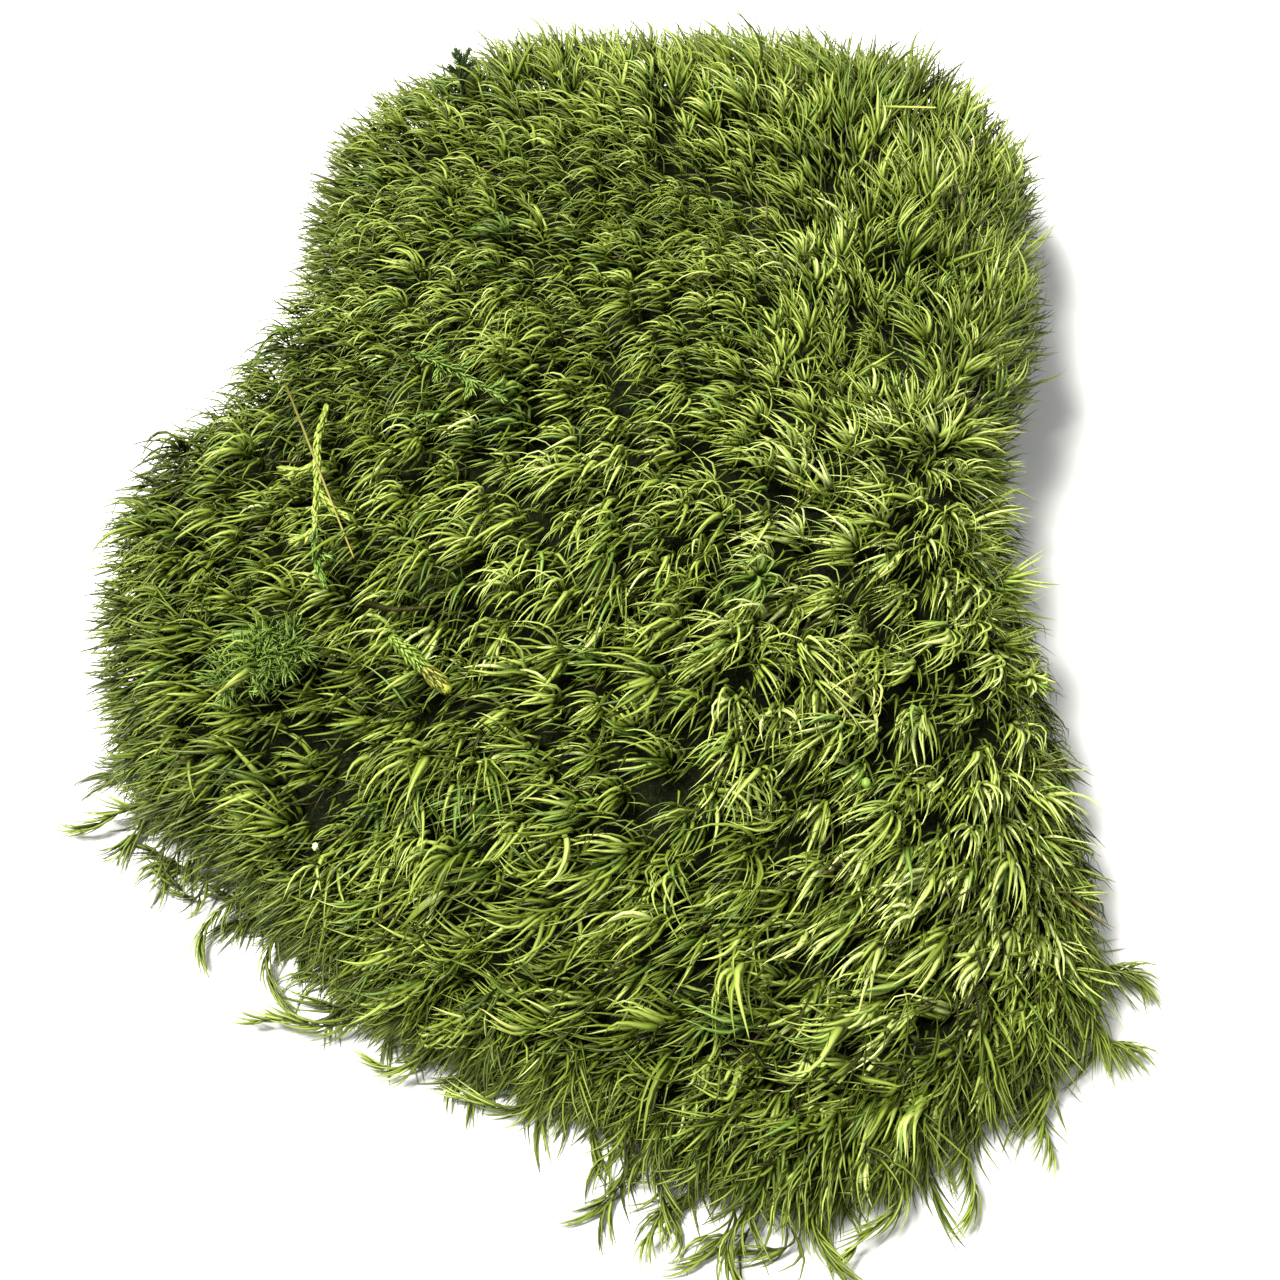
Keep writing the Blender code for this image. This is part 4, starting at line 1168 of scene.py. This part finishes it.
def leaf_material(name, through, tint=(1.0, 1.0, 1.0), gloss=0.5):
    """Leaves: palette colour, satin shine, and some light passing through."""
    if name in bpy.data.materials:
        return bpy.data.materials[name]
    mat, tree, shader = new_material(name, 0.5, 0.5)
    place = node(tree, "ShaderNodeUVMap", uv_map="OFBake")
    tone, up, _ = node(tree, "ShaderNodeSeparateXYZ",
                       ((0, place.outputs["UV"]),)).outputs
    four = sum_of(tree, "MULTIPLY", up, 4.0)
    group = node(tree, "ShaderNodeGroup", node_tree=leaf_colour_group())
    for key, value in (("Tone", tone), ("Family", sum_of(tree, "FLOOR", four)),
                       ("Along", sum_of(tree, "FRACT", four))):
        tree.links.new(value, group.inputs[key])
    colour = mixed(tree, group.outputs["Colour"], (*tint, 1.0))
    shine = sum_of(tree, "MULTIPLY", group.outputs["Shine"], gloss)
    for key, value in (("Base Color", colour), ("Specular IOR Level", shine),
                       ("Roughness", group.outputs["Roughness"])):
        tree.links.new(value, shader.inputs[key])
    if through:
        warm = mixed(tree, colour, (1.25, 1.20, 0.55, 1.0))
        glow = node(tree, "ShaderNodeBsdfTranslucent", (("Color", warm),))
        both = node(tree, "ShaderNodeMixShader", (
            (0, through), (1, shader.outputs[0]), (2, glow.outputs[0])))
        output = tree.nodes["Material Output"]
        tree.links.new(both.outputs[0], output.inputs["Surface"])
    return mat


def thatch_material():
    """Dead thatch and felt: near-black fibres, the dead stems' own dark tone
    deepened into painted shade of the gaps between the shoots, browner low
    down and underneath.
    """
    mat, tree, shader = new_material("Moss thatch", 0.9, 0.12)
    place = node(tree, "ShaderNodeTexCoord").outputs["Object"]
    height = node(tree, "ShaderNodeSeparateXYZ", ((0, place),)).outputs["Z"]
    fibre = node(tree, "ShaderNodeTexNoise", (
        ("Vector", place), ("Scale", 900.0), ("Detail", 5.0),
        ("Distortion", 1.6))).outputs["Fac"]
    # Near-black thatch: dead stems darkened as painted shade deep in the gaps
    thatch = ramp(tree, fibre, ((0.30, 0.0015, 0.003, 0.0003),
                                (0.52, 0.005, 0.008, 0.0010),
                                (0.72, 0.018, 0.022, 0.004)))
    felt = ramp(tree, fibre, ((0.30, 0.012, 0.008, 0.004),
                              (0.52, 0.055, 0.034, 0.015),
                              (0.72, 0.150, 0.100, 0.048)))
    low = mapped(tree, height, (0.0009, 0.0022), (1.0, 0.0))
    bump = node(tree, "ShaderNodeBump", (("Distance", 0.0008),
                                         ("Height", fibre)))
    tree.links.new(mixed(tree, thatch, felt, low, "MIX"),
                   shader.inputs["Base Color"])
    tree.links.new(bump.outputs["Normal"], shader.inputs["Normal"])
    return mat


def floor_material(colour):
    """A pale floor, very slightly clouded."""
    mat, tree, shader = new_material("Studio floor", 0.7, 0.2)
    place = node(tree, "ShaderNodeTexCoord").outputs["Object"]
    grain = node(tree, "ShaderNodeTexNoise", (("Vector", place),
                                              ("Scale", 30.0)))
    tint = ramp(tree, grain.outputs["Fac"],
                ((0.0, *[c * 0.985 for c in colour]), (1.0, *colour)))
    tree.links.new(tint, shader.inputs["Base Color"])
    return mat


# ---- settings
class MossSettings(bpy.types.PropertyGroup):
    """Sizes and colours of the moss that a user would change."""
    seed: IntProperty(
        name="Seed", description="Which growth of the sheet", default=7,
        min=0)
    spacing: FloatProperty(
        name="Shoot spacing", description="Distance between neighbouring "
        "shoots beside the listed distances", default=1.0, min=0.6, max=4.0)
    relief: FloatProperty(
        name="Tuft relief", description="How much deeper the shoots between "
        "two tufts end", default=0.0034, unit="LENGTH")
    leaves: IntProperty(
        name="Leaves", description="Green leaves on a shoot", default=24,
        min=4, max=60)
    old_leaves: IntProperty(
        name="Old leaves", description="Withered leaves low on a shoot",
        default=3, min=0, max=30)
    undergrowth: IntProperty(
        name="Undergrowth", description="Number of dark leaves below the "
        "shoots' heads", default=12500, min=1, max=40000)
    fringe: IntProperty(
        name="Fringe shoots", description="Loose shoots over the lower edge",
        default=96, min=1, max=160)
    skirt: IntProperty(
        name="Skirt leaves", description="Dark leaves hanging round the edge",
        default=4400, min=1, max=10000)
    leaf_width: FloatProperty(
        name="Leaf width", description="Widest part of a leaf",
        default=0.00092, unit="LENGTH", precision=5)
    leaf_scale: FloatProperty(
        name="Leaf length", description="Length of the leaves beside the "
        "combed lengths", default=1.0, min=0.3, max=2.0)
    fresh_share: FloatProperty(
        name="Fresh shoots", description="Share of bright green shoots",
        default=0.014, subtype="FACTOR", min=0, max=1)
    straw_share: FloatProperty(
        name="Straw shoots", description="Share of dry pale shoots",
        default=0.003, subtype="FACTOR", min=0, max=1)
    floor_colour: FloatVectorProperty(
        name="Floor", description="Colour of the floor", subtype="COLOR",
        default=(0.86, 0.86, 0.85), min=0, max=1)


def seeded(context, step):
    """A random generator of its own for one group of pieces."""
    return np.random.default_rng(context.scene.moss.seed + step)


def moss_leaf():
    """The material that all the broom moss leaves share."""
    return leaf_material("Moss leaf", 0.28)


class MOSS_OT_shoots(bpy.types.Operator):
    """Grow the interlocked shoots of the cushion"""
    bl_idname = "moss.shoots"
    bl_label = "Moss shoots"

    def execute(self, context):
        settings = context.scene.moss
        shoots = Shoots(settings)
        total, old = settings.leaves, settings.old_leaves
        half = total // 2 + 1
        groups = (
            (half, shoots.leaves(0, half, total, LEAFY_SPAN, 6)),
            (total - half, shoots.leaves(half, total - half, total,
                                         LEAFY_SPAN, 4)),
            (old, shoots.leaves(0, old, old, OLD_SPAN, 3, old=True)),
            (1, shoots.stems()))
        zone, at_side = shoots.zones(), shoots.wall > SIDE_STEEPNESS
        for index, name in enumerate((
                "front_left", "middle_left", "back_left", "front_right",
                "middle_right", "back_right")):
            keep = zone == index
            # Old leaves show only on the shoots round the sides
            kept = (keep, keep, keep & at_side, keep)
            shapes = [blades(**some(rows, mask, number))
                      for (number, rows), mask in zip(groups, kept)]
            make_piece("moss_shoots_" + name, shapes, moss_leaf(),
                       "moss_cushion")
        return {"FINISHED"}


class MOSS_OT_undergrowth(bpy.types.Operator):
    """Fill the gaps below the shoots' heads with dark leaves"""
    bl_idname = "moss.undergrowth"
    bl_label = "Undergrowth"

    def execute(self, context):
        make_piece("moss_undergrowth", [undergrowth(context.scene.moss)],
                   moss_leaf(), "moss_cushion")
        return {"FINISHED"}


class MOSS_OT_thatch(bpy.types.Operator):
    """Lay the dead thatch and the felted underside"""
    bl_idname = "moss.thatch"
    bl_label = "Thatch and felt"

    def execute(self, context):
        make_piece("moss_thatch", [thatch_shape()], thatch_material(),
                   "moss_cushion", lift=False)
        make_piece("moss_felt_fibres", [felt_fibres(seeded(context, 1))],
                   leaf_material("Root fibre", 0.0, (0.8, 0.7, 0.6)),
                   "moss_cushion", lift=False)
        return {"FINISHED"}


class MOSS_OT_trailing(bpy.types.Operator):
    """Grow the loose shoots that trail from the lower edge"""
    bl_idname = "moss.trailing"
    bl_label = "Trailing shoots"

    def execute(self, context):
        settings = context.scene.moss
        for index, name in enumerate(TRAILING):
            shapes = trailing_shapes(seeded(context, 20 + index), name,
                                     settings)
            make_piece(name + "_leafy", shapes, moss_leaf(), name)
        make_piece("moss_fringe", fringe_shapes(settings) + [skirt(settings)],
                   moss_leaf(), "moss_cushion")
        return {"FINISHED"}


class MOSS_OT_strands(bpy.types.Operator):
    """Lay the strands of other mosses on top"""
    bl_idname = "moss.strands"
    bl_label = "Other mosses"

    def execute(self, context):
        rng = seeded(context, 60)
        path = resting(STRAW_LINE, 40, 0.0)
        straw = sprig(rng, path[:25], 0.0007, STRAW_BRANCHES, 100, 0.0026,
                      0.0014, 0.52, 0.60, STRAW)
        straw += sprig(rng, path[22:36], 0.0007, ((0.42, 0.0018, 0.0018),),
                       60, 0.0022, 0.0010, 0.60, 0.56, FRESH)
        make_piece("straw_strand", straw,
                   leaf_material("Straw moss", 0.20, (0.90, 1.0, 0.70)),
                   "straw_feather_moss_strand")

        feather = leaf_material("Feather moss", 0.25, (1.0, 1.0, 0.9))
        top = sprig(rng, resting(SPRIG_LINE, 30, -0.0006), 0.0005,
                    SPRIG_BRANCHES, 80, 0.0021, 0.0007, 0.90, 0.74, FRESH)
        make_piece("green_sprig", top, feather, "green_feather_moss_sprig")
        patch = sprig(rng, resting(PATCH_LINE, 30, -0.0014), 0.0006,
                      PATCH_BRANCHES, 60, 0.0034, 0.0006, 1.15, 0.62, FRESH,
                      0.0010)
        make_piece("green_patch", patch + [patch_middle(rng)], feather,
                   "green_feather_moss_patch")

        make_piece("lime_shoot", lime_shapes(rng),
                   leaf_material("Lime moss", 0.2, (1.30, 1.18, 0.85)),
                   "lime_cord_shoot")

        # The dark sprig stands up: a straight rise bowed by a sine
        t = np.linspace(0, 1, 24)[:, None]
        path = resting(DARK_LINE, 24, -0.0020)[0] \
            + t * np.array((0.0010, 0.0052, 0.0060)) \
            + np.sin(math.pi * t) * np.array((-0.0008, 0.0, 0.0008))
        dark = sprig(rng, path, 0.0008, DARK_BRANCHES, 110, 0.0018, 0.0005,
                     0.9, 0.26, FRESH, 0.0006)
        make_piece("dark_sprig", dark,
                   leaf_material("Dark moss", 0.05, (0.55, 0.62, 0.60)),
                   "dark_moss_sprig")
        return {"FINISHED"}


class MOSS_OT_litter(bpy.types.Operator):
    """Lay the dry stalks and the loose bits on top"""
    bl_idname = "moss.litter"
    bl_label = "Stalks and litter"

    def execute(self, context):
        dry = leaf_material("Dry stalk", 0.0, (1.0, 0.98, 0.95), 0.08)
        broad = leaf_material("Broad leaf", 0.2, (1.0, 0.98, 1.1), 0.3)
        green = leaf_material("bud_skin", 0.1, (1.0, 1.05, 0.9))
        pale = leaf_material("speck_skin", 0.1, (1.0, 1.06, 1.8))
        for name, shape, material, node_name, slot in (
                ("needle", stalk(needle_path(), 0.00023, 0.80, BROWN),
                 dry, "dry_needle", "dry_needle"),
                ("dead_stalk", stalk(resting(DEAD_LINE, 40, -0.0006), 0.0005,
                                     0.13, BROWN, 0.35, 10),
                 dry, "dead_brown_stalk", "dead_stalk"),
                ("brown_stalk", stalk(resting(BROWN_LINE, 20, 0.0002),
                                      0.00034, 0.35, BROWN),
                 dry, "thin_brown_stalk", "thin_brown_stalk"),
                ("pale_stem", stalk(pale_path(), 0.00028, 0.62, STRAW),
                 dry, "pale_stalk", "pale_stalk"),
                ("broad_leaf", broad_leaf(),
                 broad, "blade_leaf", "blade_leaf"),
                ("bud", loose_bit((0.0350, -0.0310), (0.0007, 0.0009, 0.0007),
                                  0.70, FRESH, 0.10),
                 green, "green_bud", "green_bud"),
                ("speck", loose_bit((-0.0508, -0.0382),
                                    (0.0004, 0.0007, 0.0003), 0.88, STRAW,
                                    0.45),
                 pale, "pale_speck", "pale_speck")):
            make_piece(name, [shape], material, node_name)
        return {"FINISHED"}


def lamp(name, place, width, power, colour):
    """A round soft lamp turned towards the clump."""
    data = bpy.data.lights.new(name, "AREA")
    data.shape = "DISK"
    data.size, data.energy, data.color = width, power, colour
    away = np.array(LAMP_TARGET, float) - np.array(place, float)
    lit = bpy.data.objects.new(name, data)
    lit.location = place
    lit.rotation_euler = (
        math.atan2(math.hypot(away[0], away[1]), -away[2]), 0,
        math.atan2(away[1], away[0]) - math.pi / 2)
    return lit


def floor_piece(colour):
    """A square floor of four quads round the origin."""
    x, y = np.meshgrid(*2 * [np.linspace(-FLOOR_HALF, FLOOR_HALF, 3)])
    verts = np.stack([x.ravel(), y.ravel(), 0 * x.ravel()], 1)
    quads = [(i, i + 1, i + 4, i + 3) for i in (0, 1, 3, 4)]
    mesh = bpy.data.meshes.new("floor")
    mesh.from_pydata(verts, [], quads)
    mesh.materials.append(floor_material(colour))
    return bpy.data.objects.new("floor", mesh)


class MOSS_OT_stage(bpy.types.Operator):
    """Set the floor, the studio light and the camera"""
    bl_idname = "moss.stage"
    bl_label = "Stage"

    def execute(self, context):
        scene = context.scene
        floor = floor_piece(tuple(scene.moss.floor_colour))
        data = bpy.data.cameras.new("camera")
        data.sensor_width, data.lens = 36.0, CAMERA_LENS
        camera = bpy.data.objects.new("camera", data)
        for obj in (floor, camera, *(lamp(*row) for row in LAMPS)):
            scene.collection.objects.link(obj)

        world = bpy.data.worlds.new("Studio")
        world.use_nodes = True
        sky = world.node_tree.nodes["Background"]
        sky.inputs["Color"].default_value = (1.0, 1.0, 1.0, 1.0)
        sky.inputs["Strength"].default_value = SKY_STRENGTH
        scene.world = world
        scene.view_settings.view_transform = "Standard"

        tilt = math.radians(CAMERA_TILT)
        back = np.array((0.0, -math.cos(tilt), math.sin(tilt)))
        camera.location = np.array(CAMERA_TARGET) - MIDDLE \
            + CAMERA_AWAY * back
        camera.rotation_euler = (math.pi / 2 - tilt, 0.0, 0.0)
        scene.camera = camera
        return {"FINISHED"}


class MOSS_PT_panel(bpy.types.Panel):
    """Lists the moss clump's settings and pieces"""
    bl_idname = "MOSS_PT_panel"
    bl_label = "Moss clump"
    bl_space_type = "VIEW_3D"
    bl_region_type = "UI"
    bl_category = "Moss"

    def draw(self, context):
        settings = context.scene.moss
        for name in settings.__annotations__:
            self.layout.prop(settings, name)
        for operator in OPERATORS:
            self.layout.operator(operator.bl_idname)


OPERATORS = (MOSS_OT_shoots, MOSS_OT_undergrowth, MOSS_OT_thatch,
             MOSS_OT_trailing, MOSS_OT_strands, MOSS_OT_litter, MOSS_OT_stage)
CLASSES = (MossSettings,) + OPERATORS + (MOSS_PT_panel,)


def register():
    """Registers the classes and hangs the settings on the scene."""
    for cls in CLASSES:
        bpy.utils.register_class(cls)
    bpy.types.Scene.moss = PointerProperty(type=MossSettings)


def unregister():
    """Undoes register()."""
    del bpy.types.Scene.moss
    for cls in reversed(CLASSES):
        bpy.utils.unregister_class(cls)


def main():
    """Builds every piece through its operator."""
    register()
    bpy.ops.moss.shoots()
    bpy.ops.moss.undergrowth()
    bpy.ops.moss.thatch()
    bpy.ops.moss.trailing()
    bpy.ops.moss.strands()
    bpy.ops.moss.litter()
    bpy.ops.moss.stage()


if __name__ == "__main__":
    main()
